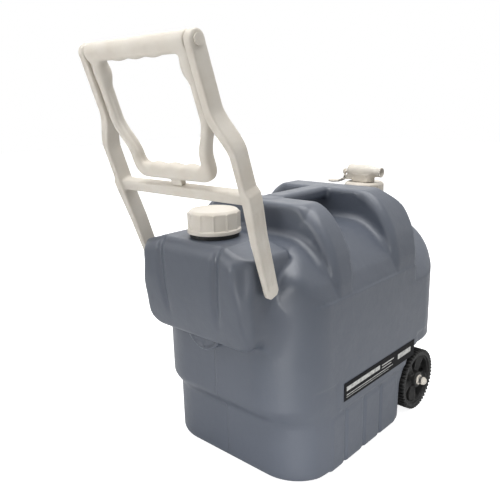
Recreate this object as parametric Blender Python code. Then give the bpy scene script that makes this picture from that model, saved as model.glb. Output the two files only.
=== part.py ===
# Wheeled water tank: a blow-moulded tank on two wheels, with a folding pull handle whose
# grip frame swings out, a screw cap on the front neck and a tap in the cap of the rear neck.
# Metres, +Z up. The origin lies on the base, midway along its flat part. +Y points to the
# wheels and +X to the side that carries the label.

import math

import bmesh
import bpy

# Clearances between pieces
GAP = 0.0003
HAIR = 0.00005

# Tank body
HALF_WIDTH = 0.150
WALL = 0.003
BASE_HALF = 0.129
BASE_FILLET = 0.006
FOOT_REACH = 0.006
FOOT_RISE = 0.008
LOWER_FRONT = -0.135
STEP_DEPTH = 0.022
STEP_LOW = 0.095
STEP_HIGH = 0.118
REAR_FACE = 0.291
DECK = 0.355
FRONT_CORNER = 0.085
LOWER_CORNER = 0.070
REAR_CORNER = 0.082
REAR_TOP_FILLET = 0.030
FRONT_TOP_FILLET = 0.025
OVERHANG_ABOVE_WELL = 0.0096
OVERHANG_FILLET = 0.012
SHOULDER_DROP = 0.085
CROWN_RISE = 0.002
CROWN_HALF = 0.060
CROWN_POWER = 1.7

# Lower deck behind the rear arch, and the boss on it that carries the rear neck
REAR_DECK_START = 0.175
REAR_DECK_DROP = 0.020
REAR_CROWN_HALF = 0.020
REAR_CROWN_DROP = 0.095
REAR_CROWN_POWER = 1.5
BOSS_RADIUS = 0.037
BOSS_SPREAD = 0.003
BOSS_HEIGHT = 0.035

# Arches over the tank and the carry bar between them
ARCH_RISE = 0.046
ARCH_FLAT_HALF = 0.080
ARCH_SIDE_DROP = 0.065
ARCH_WIDTH = 0.046
REAR_ARCH_WIDTH = 0.050
FRONT_ARCH_Y = -0.040
REAR_ARCH_Y = 0.127
BAR_HALF = 0.018
BAR_RISE = 0.002
BAR_THICKNESS = 0.020

# Filler block at the front, between the legs of the handle
BLOCK_RISE = 0.008
BLOCK_HEIGHT = 0.145
BLOCK_REACH = 0.048
BLOCK_CHIN = 0.018
CHIN_HEIGHT = 0.097
BLOCK_CORNER = 0.027
BLOCK_TOP_FILLET = 0.020
BLOCK_SIDE_FILLET = 0.007
BLOCK_LOW_FILLET = 0.034
BLOCK_BACK_GAP = 0.003
WAIST_DEPTH = 0.040
BLOCK_FLAT_HALF = 0.062
FACET_DROP = 0.014

# Rib grooves at the foot of each side
GROOVE_PLACES = (-0.032, 0.020, 0.069)
GROOVE_WIDTH = 0.005
GROOVE_DEPTH = 0.0012
GROOVE_TOP = 0.090

# Necks, caps, seals and collars
FILLER_Y = -0.148
TAP_Y = 0.246
NECK_RADIUS = 0.031
NECK_BORE = 0.026
COLLAR_HEIGHT = 0.0054
COLLAR_THICKNESS = 0.0035
CAP_HEIGHT = 0.032
CAP_WALL = 0.0035
CAP_TOP = 0.0044
THREAD_ROOM = 0.0025
FLANGE_REACH = 0.001
FLANGE_HEIGHT = 0.005
SEAL_THICKNESS = 0.003

# Tap in the rear cap
STEM_RADIUS = 0.012
BARREL_RADIUS = 0.013
BARREL_RISE = 0.017
BARREL_REAR = 0.031
BARREL_FRONT = 0.008
NOZZLE_REACH = 0.037
NOZZLE_RADIUS = 0.0075
NOZZLE_BORE = 0.005
NOZZLE_TAPER = 0.010
NOZZLE_FLARE = 0.001
CHAMBER_RADIUS = 0.0085
CHAMBER_WALL = 0.005
LIP_REACH = 0.004
LIP_THICKNESS = 0.003
SPRING_WALL = 0.0008
SEAT_X = 0.010
ROD_RADIUS = 0.003
HEAD_THICKNESS = 0.003
VALVE_TRAVEL = 0.0024
EAR_THICKNESS = 0.003
EAR_MARGIN = 0.0005
LEVER_HALF = 0.0085
LEVER_HUB_RADIUS = 0.004
LEVER_PIN_RADIUS = 0.002
LEVER_PIVOT_X = -0.035
LEVER_PIVOT_DROP = 0.0095
LEVER_THICKNESS = 0.003
LEVER_KNEE = (-0.054, -0.019)
LEVER_TIP = (-0.077, -0.021)
KNOB_BEHIND_HUB = 0.0023
KNOB_REACH = 0.002
TINE_THICKNESS = 0.0025
TINE_HEIGHT = 0.0115

# Handle frame: two legs and a brace. Distances along the legs run from the pivot line.
PIVOT_Y = -0.164
PIVOT_DROP = 0.0455
LEAN_DEG = 18.2
FOLD_BACK_DEG = 43.5
FOLD_GAP = 0.0015
LEG_GAP = 0.003
LEG_DEPTH = 0.023
LEG_END = 0.012
LEG_FOOT_WIDTH = 0.008
LEG_KNEE_WIDTH = 0.013
LEG_KNEE_ALONG = 0.078
LEG_STEP_IN = 0.004
LEDGE_OUT = 0.0045
LEDGE_ALONG = 0.128
LEDGE_LENGTH = 0.010
LEDGE_END = 0.018
BRACE_ALONG = 0.125
BRACE_WIDTH = 0.015
BRACE_DEPTH = 0.016
UPPER_LEG_WIDTH = 0.011
BEND_START = 0.190
BEND_LENGTH = 0.055
UPPER_LEG_SHIFT = 0.0225
INNER_BEND_AHEAD = 0.006
UPPER_WIDTH = 0.012
GRIP_AXIS_ALONG = 0.318

# Grip frame: a ring that turns about its own top bar between the leg ends
GRIP_GAP = 0.001
GRIP_DEPTH = 0.017
GRIP_ARM_WIDTH = 0.0135
GRIP_BAR_DROP = 0.011
GRIP_NARROWING = 0.0185
GRIP_NARROW_ARM = 0.015
GRIP_BEND_LOW = 0.188
GRIP_BEND_HIGH = 0.225
GRIP_LOW = 0.149
GRIP_LOW_WIDTH = 0.019
GRIP_CORNER = 0.012
SCALLOP_MARGIN = 0.0105
SCALLOP_DEPTH = 0.002
NUB_HALF = 0.010
NUB_DEPTH = 0.008

# Pins
PIVOT_PIN_RADIUS = 0.005
PIVOT_PIN_DEPTH = 0.012
PIVOT_SOCKET = 0.005
GRIP_PIN_RADIUS = 0.004
GRIP_PIN_DEPTH = 0.012
GRIP_HEAD_RADIUS = 0.0065
PIN_HEAD_HEIGHT = 0.002

# Wheels on their axle
WHEEL_Y = 0.195
WHEEL_RADIUS = 0.0545
FLOOR_GAP = 0.0004
WELL_GAP = 0.003
WHEEL_WIDTH = 0.025
WHEEL_PROUD = 0.003
RIM_THICKNESS = 0.012
WEB_WIDTH = 0.014
HUB_RADIUS = 0.014
WINDOW_COUNT = 5
WINDOW_SPAN_DEG = 38
WINDOW_MARGIN = 0.004
AXLE_RADIUS = 0.006
SPACER_LENGTH = 0.005
SPACER_RADIUS = 0.012
WASHER_THICKNESS = 0.002
WASHER_RADIUS = 0.015
NUT_LENGTH = 0.012
NUT_RADIUS = 0.011
NUT_FLOOR = 0.003
HOUSING_RADIUS = 0.0395
HOUSING_FRONT = 0.110
HOUSING_ROOF = 0.140

# Side label
LABEL_Y = (-0.040, 0.177)
LABEL_Z = (0.109, 0.138)
LABEL_THICKNESS = 0.0004

# Sizes that follow from the ones above
MIDDLE_FRONT = LOWER_FRONT - STEP_DEPTH
WHEEL_Z = WHEEL_RADIUS + FLOOR_GAP
WELL_RADIUS = WHEEL_RADIUS + WELL_GAP
WHEEL_OUTER = HALF_WIDTH + WHEEL_PROUD
WHEEL_INNER = WHEEL_OUTER - WHEEL_WIDTH
HOUSING_HALF = WHEEL_INNER - SPACER_LENGTH - 2 * GAP
OVERHANG_Z = WHEEL_Z + WELL_RADIUS + OVERHANG_ABOVE_WELL
REAR_DECK = DECK - REAR_DECK_DROP
WAIST_HALF = HALF_WIDTH - WAIST_DEPTH
SHOULDER_START = DECK - SHOULDER_DROP
ARCH_TOP = DECK + ARCH_RISE
ARCH_SIDE_Z = DECK - ARCH_SIDE_DROP
BLOCK_TOP = DECK + BLOCK_RISE
BLOCK_BOTTOM = BLOCK_TOP - BLOCK_HEIGHT
PIVOT_Z = DECK - PIVOT_DROP
CAP_INNER = NECK_RADIUS + THREAD_ROOM
CAP_RADIUS = CAP_INNER + CAP_WALL
BLOCK_BACK = FILLER_Y + CAP_RADIUS + FLANGE_REACH + BLOCK_BACK_GAP
CAP_SEAT = COLLAR_HEIGHT + 2 * GAP
NECK_HEIGHT = CAP_SEAT + CAP_HEIGHT - CAP_TOP - SEAL_THICKNESS - 2 * GAP
LEG_INNER = WAIST_HALF + LEG_GAP
UPPER_LEG_INNER = LEG_INNER + LEG_STEP_IN
LEDGE_OUTER = UPPER_LEG_INNER + UPPER_LEG_WIDTH + LEDGE_OUT
UPPER_INNER = UPPER_LEG_INNER - UPPER_LEG_SHIFT
GRIP_HALF = UPPER_INNER - GRIP_GAP
GRIP_NARROW_HALF = GRIP_HALF - GRIP_NARROWING
SCALLOP_PITCH = (GRIP_NARROW_HALF - GRIP_NARROW_ARM - SCALLOP_MARGIN) / 1.5
RING_HOLE_HALF = GRIP_HALF - GRIP_ARM_WIDTH
LEG_TOP = GRIP_AXIS_ALONG + LEG_END
TAP_TOP = DECK + CAP_SEAT + CAP_HEIGHT
BARREL_Z = TAP_TOP + BARREL_RISE


# Plain geometry

def arc(cu, cv, radius, start_deg, end_deg, steps):
    """Points on an arc, both ends included."""
    angles = [math.radians(start_deg + (end_deg - start_deg) * i / steps) for i in range(steps + 1)]
    return [(cu + radius * math.cos(a), cv + radius * math.sin(a)) for a in angles]


def circle(cu, cv, radius, steps):
    """Points round a full circle."""
    return arc(cu, cv, radius, 0, 360, steps)[:-1]


def mirrored(half):
    """A whole outline from the half on the +u side, listed from the middle round to the middle."""
    return half + [(-u, v) for u, v in reversed(half) if u > 1e-9]


def crown(half_flat, half_wide, low, high, power, steps):
    """Superellipse quarter from the side (half_wide, low) up to (half_flat, high)."""
    points = []
    for i in range(steps + 1):
        a = math.radians(90 * i / steps)
        u = half_flat + (half_wide - half_flat) * math.cos(a) ** (2 / power)
        v = low + (high - low) * math.sin(a) ** (2 / power)
        points.append((u, v))
    return points


def inset(outline, distance):
    """The outline moved inward by a distance; it runs anticlockwise."""
    moved = []
    count = len(outline)
    for i, (u, v) in enumerate(outline):
        pu, pv = outline[i - 1]
        nu, nv = outline[(i + 1) % count]
        before = math.hypot(u - pu, v - pv)
        after = math.hypot(nu - u, nv - v)
        n1 = (-(v - pv) / before, (u - pu) / before)
        n2 = (-(nv - v) / after, (nu - u) / after)
        share = distance / (1 + n1[0] * n2[0] + n1[1] * n2[1])
        moved.append((u + share * (n1[0] + n2[0]), v + share * (n1[1] + n2[1])))
    return moved


def place(axis, u, v, w):
    """A point from outline coordinates (u, v) and the distance w along the axis."""
    if axis == "X":
        return (w, u, v)
    if axis == "Y":
        return (u, w, v)
    return (u, v, w)


def finish(bm, name):
    """An object from a bmesh, welded and facing out."""
    bmesh.ops.remove_doubles(bm, verts=bm.verts, dist=1e-7)
    bmesh.ops.recalc_face_normals(bm, faces=bm.faces)
    mesh = bpy.data.meshes.new(name)
    bm.to_mesh(mesh)
    bm.free()
    obj = bpy.data.objects.new(name, mesh)
    bpy.context.collection.objects.link(obj)
    return obj


def prism(name, outline, axis, low, high):
    """An outline extruded along X, Y or Z."""
    bm = bmesh.new()
    ends = []
    for w in (low, high):
        ends.append([bm.verts.new(place(axis, u, v, w)) for u, v in outline])
    count = len(outline)
    bm.faces.new(ends[0])
    bm.faces.new(ends[1])
    for i in range(count):
        j = (i + 1) % count
        bm.faces.new((ends[0][i], ends[0][j], ends[1][j], ends[1][i]))
    return finish(bm, name)


def loft(name, rings):
    """A solid through plan outlines with equal counts of points, each at its height."""
    bm = bmesh.new()
    loops = [[bm.verts.new((x, y, z)) for x, y in outline] for outline, z in rings]
    bm.faces.new(loops[0])
    bm.faces.new(loops[-1])
    for low, high in zip(loops, loops[1:]):
        for i, start in enumerate(low):
            j = (i + 1) % len(low)
            bm.faces.new((start, low[j], high[j], high[i]))
    return finish(bm, name)


def box(name, x, y, z):
    """A box from its three ranges."""
    return prism(name, [(x[0], y[0]), (x[1], y[0]), (x[1], y[1]), (x[0], y[1])], "Z", z[0], z[1])


def rod(name, axis, centre, radius, low, high, steps=32):
    """A round bar along X, Y or Z; centre is its place in the outline plane."""
    return prism(name, circle(centre[0], centre[1], radius, steps), axis, low, high)


def turned(name, profile, axis, centre, steps=48):
    """A closed profile of (radius, distance along the axis) turned round the axis."""
    bm = bmesh.new()
    rings = []
    for i in range(steps):
        a = 2 * math.pi * i / steps
        ring = []
        for radius, along in profile:
            u = centre[0] + radius * math.cos(a)
            v = centre[1] + radius * math.sin(a)
            ring.append(bm.verts.new(place(axis, u, v, along)))
        rings.append(ring)
    count = len(profile)
    for i in range(steps):
        here, there = rings[i], rings[(i + 1) % steps]
        for j in range(count):
            k = (j + 1) % count
            if profile[j][0] > 0 or profile[k][0] > 0:
                bm.faces.new((here[j], here[k], there[k], there[j]))
    return finish(bm, name)


def combine(target, tools, operation):
    """The target with each tool added, cut away or intersected, in that order."""
    for tool in tools:
        modifier = target.modifiers.new(tool.name, "BOOLEAN")
        modifier.operation = operation
        modifier.solver = "EXACT"
        modifier.object = tool
    bpy.context.view_layer.update()
    depsgraph = bpy.context.evaluated_depsgraph_get()
    mesh = bpy.data.meshes.new_from_object(target.evaluated_get(depsgraph))
    target.modifiers.clear()
    target.data = mesh
    for tool in tools:
        bpy.data.objects.remove(tool)
    return target


def material(name, colour, roughness, metallic=0.0):
    """A Principled material in one colour."""
    made = bpy.data.materials.new(name)
    made.use_nodes = True
    shader = made.node_tree.nodes["Principled BSDF"]
    shader.inputs["Base Color"].default_value = (*colour, 1.0)
    shader.inputs["Roughness"].default_value = roughness
    shader.inputs["Metallic"].default_value = metallic
    made.diffuse_color = (*colour, 1.0)
    return made


def complete(obj, name, made):
    """The piece's name, material and shading."""
    obj.name = name
    obj.data.name = name
    obj.data.materials.clear()
    obj.data.materials.append(made)
    for polygon in obj.data.polygons:
        polygon.material_index = 0
    obj.data.shade_smooth()
    obj.data.set_sharp_from_angle(angle=math.radians(32))
    return obj


def set_origin(obj, point):
    """Moves the object's origin to a point and leaves its mesh where it is."""
    for vertex in obj.data.vertices:
        vertex.co.x -= point[0]
        vertex.co.y -= point[1]
        vertex.co.z -= point[2]
    obj.location = point
    return obj


# Tank outlines

def body_side():
    """Side outline (y, z) of the body, with its raised rear end over the wheels."""
    foot = [(BASE_HALF + FOOT_REACH * math.sin(a), FOOT_RISE * (1 - math.cos(a)))
            for a in (math.radians(d) for d in (0, 30, 60, 90))]
    well = arc(WHEEL_Y, WHEEL_Z, WELL_RADIUS, 176, 150, 5)
    rise = OVERHANG_Z - well[-1][1]
    slope_end = (well[-1][0] + rise * math.tan(math.radians(30)), OVERHANG_Z)
    low_rear = arc(REAR_FACE - OVERHANG_FILLET, OVERHANG_Z + OVERHANG_FILLET, OVERHANG_FILLET, -90, 0, 4)
    top_rear = arc(REAR_FACE - REAR_TOP_FILLET, DECK - REAR_TOP_FILLET, REAR_TOP_FILLET, 0, 90, 6)
    top_front = arc(MIDDLE_FRONT + FRONT_TOP_FILLET, DECK - FRONT_TOP_FILLET, FRONT_TOP_FILLET, 90, 180, 5)
    return foot + well + [slope_end] + low_rear + top_rear + top_front + [(MIDDLE_FRONT, 0)]


def body_plan(front, corner):
    """Plan outline (x, y) of the body: a rectangle with four large corners."""
    rear = REAR_FACE + HAIR
    right = arc(HALF_WIDTH - corner, front + corner, corner, -90, 0, 10)
    right += arc(HALF_WIDTH - REAR_CORNER, rear - REAR_CORNER, REAR_CORNER, 0, 90, 10)
    return mirrored(right)


def body_rings(depth):
    """Plan outlines of the body with their heights: round at the base, with a step higher up."""
    lower = body_plan(LOWER_FRONT, LOWER_CORNER)
    upper = inset(body_plan(MIDDLE_FRONT - HAIR, FRONT_CORNER), depth)
    radius = BASE_FILLET - depth
    rings = [(inset(lower, BASE_FILLET), -BASE_FILLET)]
    for a in (math.radians(30 * i) for i in range(4)):
        rings.append((inset(lower, BASE_FILLET - radius * math.sin(a)), depth + radius * (1 - math.cos(a))))
    shift = depth * math.tan(math.atan2(STEP_DEPTH, STEP_HIGH - STEP_LOW) / 2)
    rings.append((inset(lower, depth), STEP_LOW + shift))
    return rings + [(upper, STEP_HIGH + shift), (upper, DECK + FRONT_CORNER)]


def body_front():
    """Front outline (x, z) of the body: upright sides under a rounded crown."""
    wide = HALF_WIDTH + HAIR
    half = [(0, -0.010), (wide, -0.010)]
    half += crown(CROWN_HALF, wide, SHOULDER_START, DECK + CROWN_RISE, CROWN_POWER, 12)
    half += [(0, DECK + CROWN_RISE)]
    return mirrored(half)


def rear_side():
    """Side outline (y, z) of the body behind the rear arch, up to its lower deck."""
    rear = REAR_FACE + HAIR
    top = REAR_DECK + HAIR
    start = REAR_DECK_START / 2
    curve = arc(rear - REAR_TOP_FILLET, top - REAR_TOP_FILLET, REAR_TOP_FILLET, 0, 90, 6)
    return [(start, 0), (rear, 0)] + curve + [(start, top)]


def rear_front():
    """Front outline (x, z) of the body behind the rear arch, under its rounder crown."""
    wide = HALF_WIDTH + 2 * HAIR
    half = [(0, 0), (wide, 0)]
    half += crown(REAR_CROWN_HALF, wide, REAR_DECK - REAR_CROWN_DROP, REAR_DECK, REAR_CROWN_POWER, 12)
    return mirrored(half + [(0, REAR_DECK)])


def arch_front():
    """Front outline (x, z) of an arch, from inside the body up and over the top."""
    wide = HALF_WIDTH - 4 * HAIR
    low = SHOULDER_START - 0.020
    half = [(0, low), (wide, low)]
    half += crown(ARCH_FLAT_HALF, wide, ARCH_SIDE_Z, ARCH_TOP, CROWN_POWER, 12)
    half += [(0, ARCH_TOP)]
    return mirrored(half)


def block_side():
    """Side outline (y, z) of the filler block: its front face draws back towards the chin."""
    front = MIDDLE_FRONT - BLOCK_REACH
    top = arc(front + BLOCK_TOP_FILLET, BLOCK_TOP - BLOCK_TOP_FILLET, BLOCK_TOP_FILLET, 90, 180, 4)
    chin = []
    for i in range(1, 5):
        t = i / 4
        chin.append((front + BLOCK_CHIN * t ** 2, BLOCK_BOTTOM + CHIN_HEIGHT * (1 - t)))
    return [(BLOCK_BACK, BLOCK_BOTTOM), (BLOCK_BACK, BLOCK_TOP)] + top + chin


def block_front():
    """Front outline (x, z) of the filler block, with a facet down to each side."""
    low, high = BLOCK_LOW_FILLET, BLOCK_SIDE_FILLET
    half = [(0, BLOCK_BOTTOM - HAIR)]
    half += arc(WAIST_HALF - low, BLOCK_BOTTOM + low, low, -90, 0, 6)
    half += arc(WAIST_HALF - high, BLOCK_TOP - FACET_DROP - high, high, 0, 75, 3)
    half += [(BLOCK_FLAT_HALF, BLOCK_TOP + HAIR), (0, BLOCK_TOP + HAIR)]
    return mirrored(half)


def block_plan():
    """Plan outline (x, y) of the filler block, with two round corners at the front."""
    front = MIDDLE_FRONT - BLOCK_REACH - HAIR
    half = arc(WAIST_HALF - BLOCK_CORNER, front + BLOCK_CORNER, BLOCK_CORNER, -90, 0, 6)
    half += [(WAIST_HALF, BLOCK_BACK + HAIR)]
    return mirrored(half)


def housing_side():
    """Side outline (y, z) of the axle housing between the wheels."""
    low = WHEEL_Z - HOUSING_RADIUS
    curve = arc(WHEEL_Y, WHEEL_Z, HOUSING_RADIUS, -90, 0, 8)
    return [(HOUSING_FRONT, low)] + curve + [(WHEEL_Y + HOUSING_RADIUS, HOUSING_ROOF),
                                             (HOUSING_FRONT, HOUSING_ROOF)]


def relief_side(extra):
    """Side outline (y, z) that a leg sweeps as the handle leans back, widened by extra."""
    radius = LEG_DEPTH / 2 + FOLD_GAP + extra
    lean = math.radians(FOLD_BACK_DEG)
    along = 0.150
    start = -FOLD_BACK_DEG
    under = arc(PIVOT_Y, PIVOT_Z, radius, 180, 360 + start, 10)
    tip = (under[-1][0] + along * math.sin(lean), under[-1][1] + along * math.cos(lean))
    return under + [tip, (PIVOT_Y - radius, tip[1])]


# Tank solids

def rear_cut(depth):
    """The material over the lower deck behind the rear arch."""
    keep = prism("rear", inset(rear_side(), depth), "X", -0.4, 0.4)
    keep = combine(keep, [prism("rear crown", inset(rear_front(), depth), "Y", -0.1, 0.6)], "INTERSECT")
    around = box("around", (-0.3, 0.3), (REAR_DECK_START - depth, 0.4), (OVERHANG_Z + REAR_TOP_FILLET, 0.6))
    return combine(around, [keep], "DIFFERENCE")


def body_solid(depth):
    """The body, with every face moved inward by depth."""
    side = prism("side", inset(body_side(), depth), "X", -0.3, 0.3)
    plan = loft("plan", body_rings(depth))
    front = prism("front", inset(body_front(), depth), "Y", -0.5, 0.5)
    body = combine(side, [plan, front], "INTERSECT")
    return combine(body, [rear_cut(depth)], "DIFFERENCE")


def boss_solid(depth):
    """The round boss under the rear neck, with every face moved inward by depth."""
    wide = circle(0, TAP_Y, BOSS_RADIUS + BOSS_SPREAD - depth, 48)
    narrow = circle(0, TAP_Y, BOSS_RADIUS - depth, 48)
    return loft("boss", [(wide, DECK - BOSS_HEIGHT), (narrow, DECK - depth)])


def block_solid(depth):
    """The filler block, with every face moved inward by depth."""
    side = prism("block", inset(block_side(), depth), "X", -0.3, 0.3)
    plan = prism("block plan", inset(block_plan(), depth), "Z", 0.1, 0.6)
    front = prism("block front", inset(block_front(), depth), "Y", -0.5, 0.5)
    return combine(side, [plan, front], "INTERSECT")


def arch_solids(depth):
    """Both arches, with every face moved inward by depth."""
    outline = inset(arch_front(), depth)
    solids = []
    for middle, width in ((FRONT_ARCH_Y, ARCH_WIDTH), (REAR_ARCH_Y, REAR_ARCH_WIDTH)):
        half = width / 2 - depth
        solids.append(prism("arch", outline, "Y", middle - half, middle + half))
    return solids


def housing_solid(depth):
    """The axle housing, with every face moved inward by depth."""
    half = HOUSING_HALF - depth
    return prism("housing", inset(housing_side(), depth), "X", -half, half)


def tank_form(depth):
    """Body, arches, block and housing as one solid, inset by depth."""
    added = [block_solid(depth), housing_solid(depth), boss_solid(depth)]
    return combine(body_solid(depth), arch_solids(depth) + added, "UNION")


def both_sides(make):
    """The solids that make() gives for the right (1) and the left (-1) side."""
    return [make(1), make(-1)]


def span(side, low, high):
    """The x range from low to high on one side, in rising order."""
    return (low, high) if side > 0 else (-high, -low)


def relief(side, extra):
    """The room for a leg that leans back over the shoulder."""
    low, high = span(side, WAIST_HALF + HAIR - extra, LEDGE_OUTER + FOLD_GAP + extra)
    return prism("relief", relief_side(extra), "X", low, high)


def pivot_boss(side):
    """Solid material behind the wall of the waist, where a pivot pin is fixed."""
    low, high = span(side, WAIST_HALF - PIVOT_PIN_DEPTH - WALL, WAIST_HALF + WALL)
    return rod("boss", "X", (PIVOT_Y, PIVOT_Z), PIVOT_PIN_RADIUS + GAP + WALL, low, high)


def pivot_hole(side):
    """The blind hole for a pivot pin in the side of the waist."""
    low, high = span(side, WAIST_HALF - PIVOT_PIN_DEPTH - GAP, WAIST_HALF + 0.001)
    return rod("hole", "X", (PIVOT_Y, PIVOT_Z), PIVOT_PIN_RADIUS + GAP, low, high)


def grooves(side):
    """The rib grooves at the foot of one side."""
    low, high = span(side, HALF_WIDTH - GROOVE_DEPTH, HALF_WIDTH + 0.005)
    half = GROOVE_WIDTH / 2
    return [box("groove", (low, high), (y - half, y + half), (-0.005, GROOVE_TOP)) for y in GROOVE_PLACES]


def neck(y, deck):
    """A neck that stands on the deck."""
    return rod("neck", "Z", (0, y), NECK_RADIUS, deck - WALL / 2, deck + NECK_HEIGHT, 48)


def neck_bore(y, deck):
    """The opening through a neck and the deck under it."""
    return rod("bore", "Z", (0, y), NECK_BORE, deck - 0.020, deck + NECK_HEIGHT + 0.01, 48)


def carry_bar():
    """The bar between the arches, with room for the fingers under it."""
    top = ARCH_TOP + BAR_RISE
    low = FRONT_ARCH_Y + ARCH_WIDTH / 2 - WALL / 2
    high = REAR_ARCH_Y - REAR_ARCH_WIDTH / 2 + WALL / 2
    return box("bar", (-BAR_HALF, BAR_HALF), (low, high), (top - BAR_THICKNESS, top))


def tank_shell(made):
    """The tank: its outer form, hollowed to the wall thickness and open at both necks."""
    outer = tank_form(0)
    necks = [neck(FILLER_Y, BLOCK_TOP), neck(TAP_Y, DECK)]
    outer = combine(outer, necks + [carry_bar()], "UNION")
    sweeps = both_sides(lambda side: relief(side, 0))
    outer = combine(outer, sweeps + grooves(1) + grooves(-1), "DIFFERENCE")

    space = tank_form(WALL)
    kept = both_sides(lambda side: relief(side, WALL)) + both_sides(pivot_boss)
    sleeve = rod("sleeve", "X", (WHEEL_Y, WHEEL_Z), AXLE_RADIUS + GAP + WALL, -0.2, 0.2)
    space = combine(space, kept + [sleeve], "DIFFERENCE")

    tunnel = rod("tunnel", "X", (WHEEL_Y, WHEEL_Z), AXLE_RADIUS + GAP, -0.2, 0.2)
    bores = [neck_bore(FILLER_Y, BLOCK_TOP), neck_bore(TAP_Y, DECK)]
    tank = combine(outer, [space, tunnel] + both_sides(pivot_hole) + bores, "DIFFERENCE")
    return complete(tank, "tank_shell", made)


def side_label(made):
    """The bare band on the label side."""
    low = HALF_WIDTH + GAP
    return complete(box("label", (low, low + LABEL_THICKNESS), LABEL_Y, LABEL_Z), "side_label", made)


# Caps

def cap_profile(base):
    """Closed (radius, z) profile of a cap that stands on z = base."""
    top = base + CAP_HEIGHT
    flange = CAP_RADIUS + FLANGE_REACH
    return [(0, top), (0, top - CAP_TOP), (CAP_INNER, top - CAP_TOP), (CAP_INNER, base), (flange, base),
            (flange, base + FLANGE_HEIGHT), (CAP_RADIUS, base + FLANGE_HEIGHT + 0.001),
            (CAP_RADIUS, top - 0.002), (CAP_RADIUS - 0.002, top)]


def collar(name, y, deck, made):
    """The dark ring round the foot of a neck."""
    inner = NECK_RADIUS + GAP
    outer = inner + COLLAR_THICKNESS
    low = deck + GAP
    profile = [(inner, low), (outer, low), (outer, low + COLLAR_HEIGHT), (inner, low + COLLAR_HEIGHT)]
    return complete(turned("collar", profile, "Z", (0, y)), name, made)


def seal(name, y, deck, made):
    """The ring that lies on the rim of a neck, under the cap."""
    low = deck + NECK_HEIGHT + GAP
    high = low + SEAL_THICKNESS
    outer = CAP_INNER - 2 * GAP
    profile = [(NECK_BORE, low), (outer, low), (outer, high), (NECK_BORE, high)]
    return set_origin(complete(turned("seal", profile, "Z", (0, y)), name, made), (0, y, low))


def filler_cap(made):
    """The screw cap of the front neck."""
    base = BLOCK_TOP + CAP_SEAT
    cap = turned("cap", cap_profile(base), "Z", (0, FILLER_Y))
    return set_origin(complete(cap, "filler_cap", made), (0, FILLER_Y, base))


def tap_cap(made):
    """The screw cap of the rear neck, with a hole for the stem of the tap."""
    base = DECK + CAP_SEAT
    cap = turned("cap", cap_profile(base), "Z", (0, TAP_Y))
    hole = rod("hole", "Z", (0, TAP_Y), STEM_RADIUS + GAP, base, TAP_TOP + 0.01)
    return set_origin(complete(combine(cap, [hole], "DIFFERENCE"), "tap_cap", made), (0, TAP_Y, base))


# Tap

def tap_body(made):
    """Stem, barrel and nozzle, with a chamber for the plunger and two ears for the lever."""
    stem_low = TAP_TOP - CAP_TOP - LIP_THICKNESS
    stem = rod("stem", "Z", (0, TAP_Y), STEM_RADIUS, stem_low, BARREL_Z)
    lip = rod("lip", "Z", (0, TAP_Y), STEM_RADIUS + LIP_REACH, stem_low, TAP_TOP - CAP_TOP - GAP)
    outer = [(0, -BARREL_REAR), (BARREL_RADIUS, -BARREL_REAR), (BARREL_RADIUS, BARREL_FRONT),
             (NOZZLE_RADIUS + NOZZLE_FLARE, NOZZLE_REACH - NOZZLE_TAPER), (NOZZLE_RADIUS, NOZZLE_REACH),
             (0, NOZZLE_REACH)]
    body = turned("tap", outer, "X", (TAP_Y, BARREL_Z), 36)
    ears = [lever_ear(1), lever_ear(-1)]
    body = combine(body, [stem, lip] + ears, "UNION")
    chamber = [(0, -BARREL_REAR + CHAMBER_WALL), (CHAMBER_RADIUS, -BARREL_REAR + CHAMBER_WALL),
               (CHAMBER_RADIUS, SEAT_X), (NOZZLE_BORE, SEAT_X), (NOZZLE_BORE, NOZZLE_REACH + 0.01),
               (0, NOZZLE_REACH + 0.01)]
    hollow = turned("chamber", chamber, "X", (TAP_Y, BARREL_Z), 36)
    inlet = rod("inlet", "Z", (0, TAP_Y), STEM_RADIUS / 2, stem_low - 0.01, BARREL_Z)
    guide = rod("guide", "X", (TAP_Y, BARREL_Z), ROD_RADIUS + GAP, -BARREL_REAR - 0.01, 0)
    pin_hole = rod("pin", "Y", (LEVER_PIVOT_X, BARREL_Z - LEVER_PIVOT_DROP), LEVER_PIN_RADIUS + GAP,
                   TAP_Y - 0.03, TAP_Y + 0.03, 20)
    body = combine(body, [hollow, inlet, guide, pin_hole], "DIFFERENCE")
    return complete(body, "tap_body", made)


def lever_ear(side):
    """One of the two ears behind the barrel that hold the lever's pin."""
    low, high = span(side, LEVER_HALF + GAP, LEVER_HALF + GAP + EAR_THICKNESS)
    pivot_z = BARREL_Z - LEVER_PIVOT_DROP
    radius = LEVER_HUB_RADIUS + EAR_MARGIN
    round_end = arc(LEVER_PIVOT_X, pivot_z, radius, 90, 270, 8)
    bottom = pivot_z - radius
    outline = round_end + [(0, bottom), (0, BARREL_Z), (-BARREL_REAR, BARREL_Z)]
    return prism("ear", outline, "Y", TAP_Y + low, TAP_Y + high)


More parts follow.
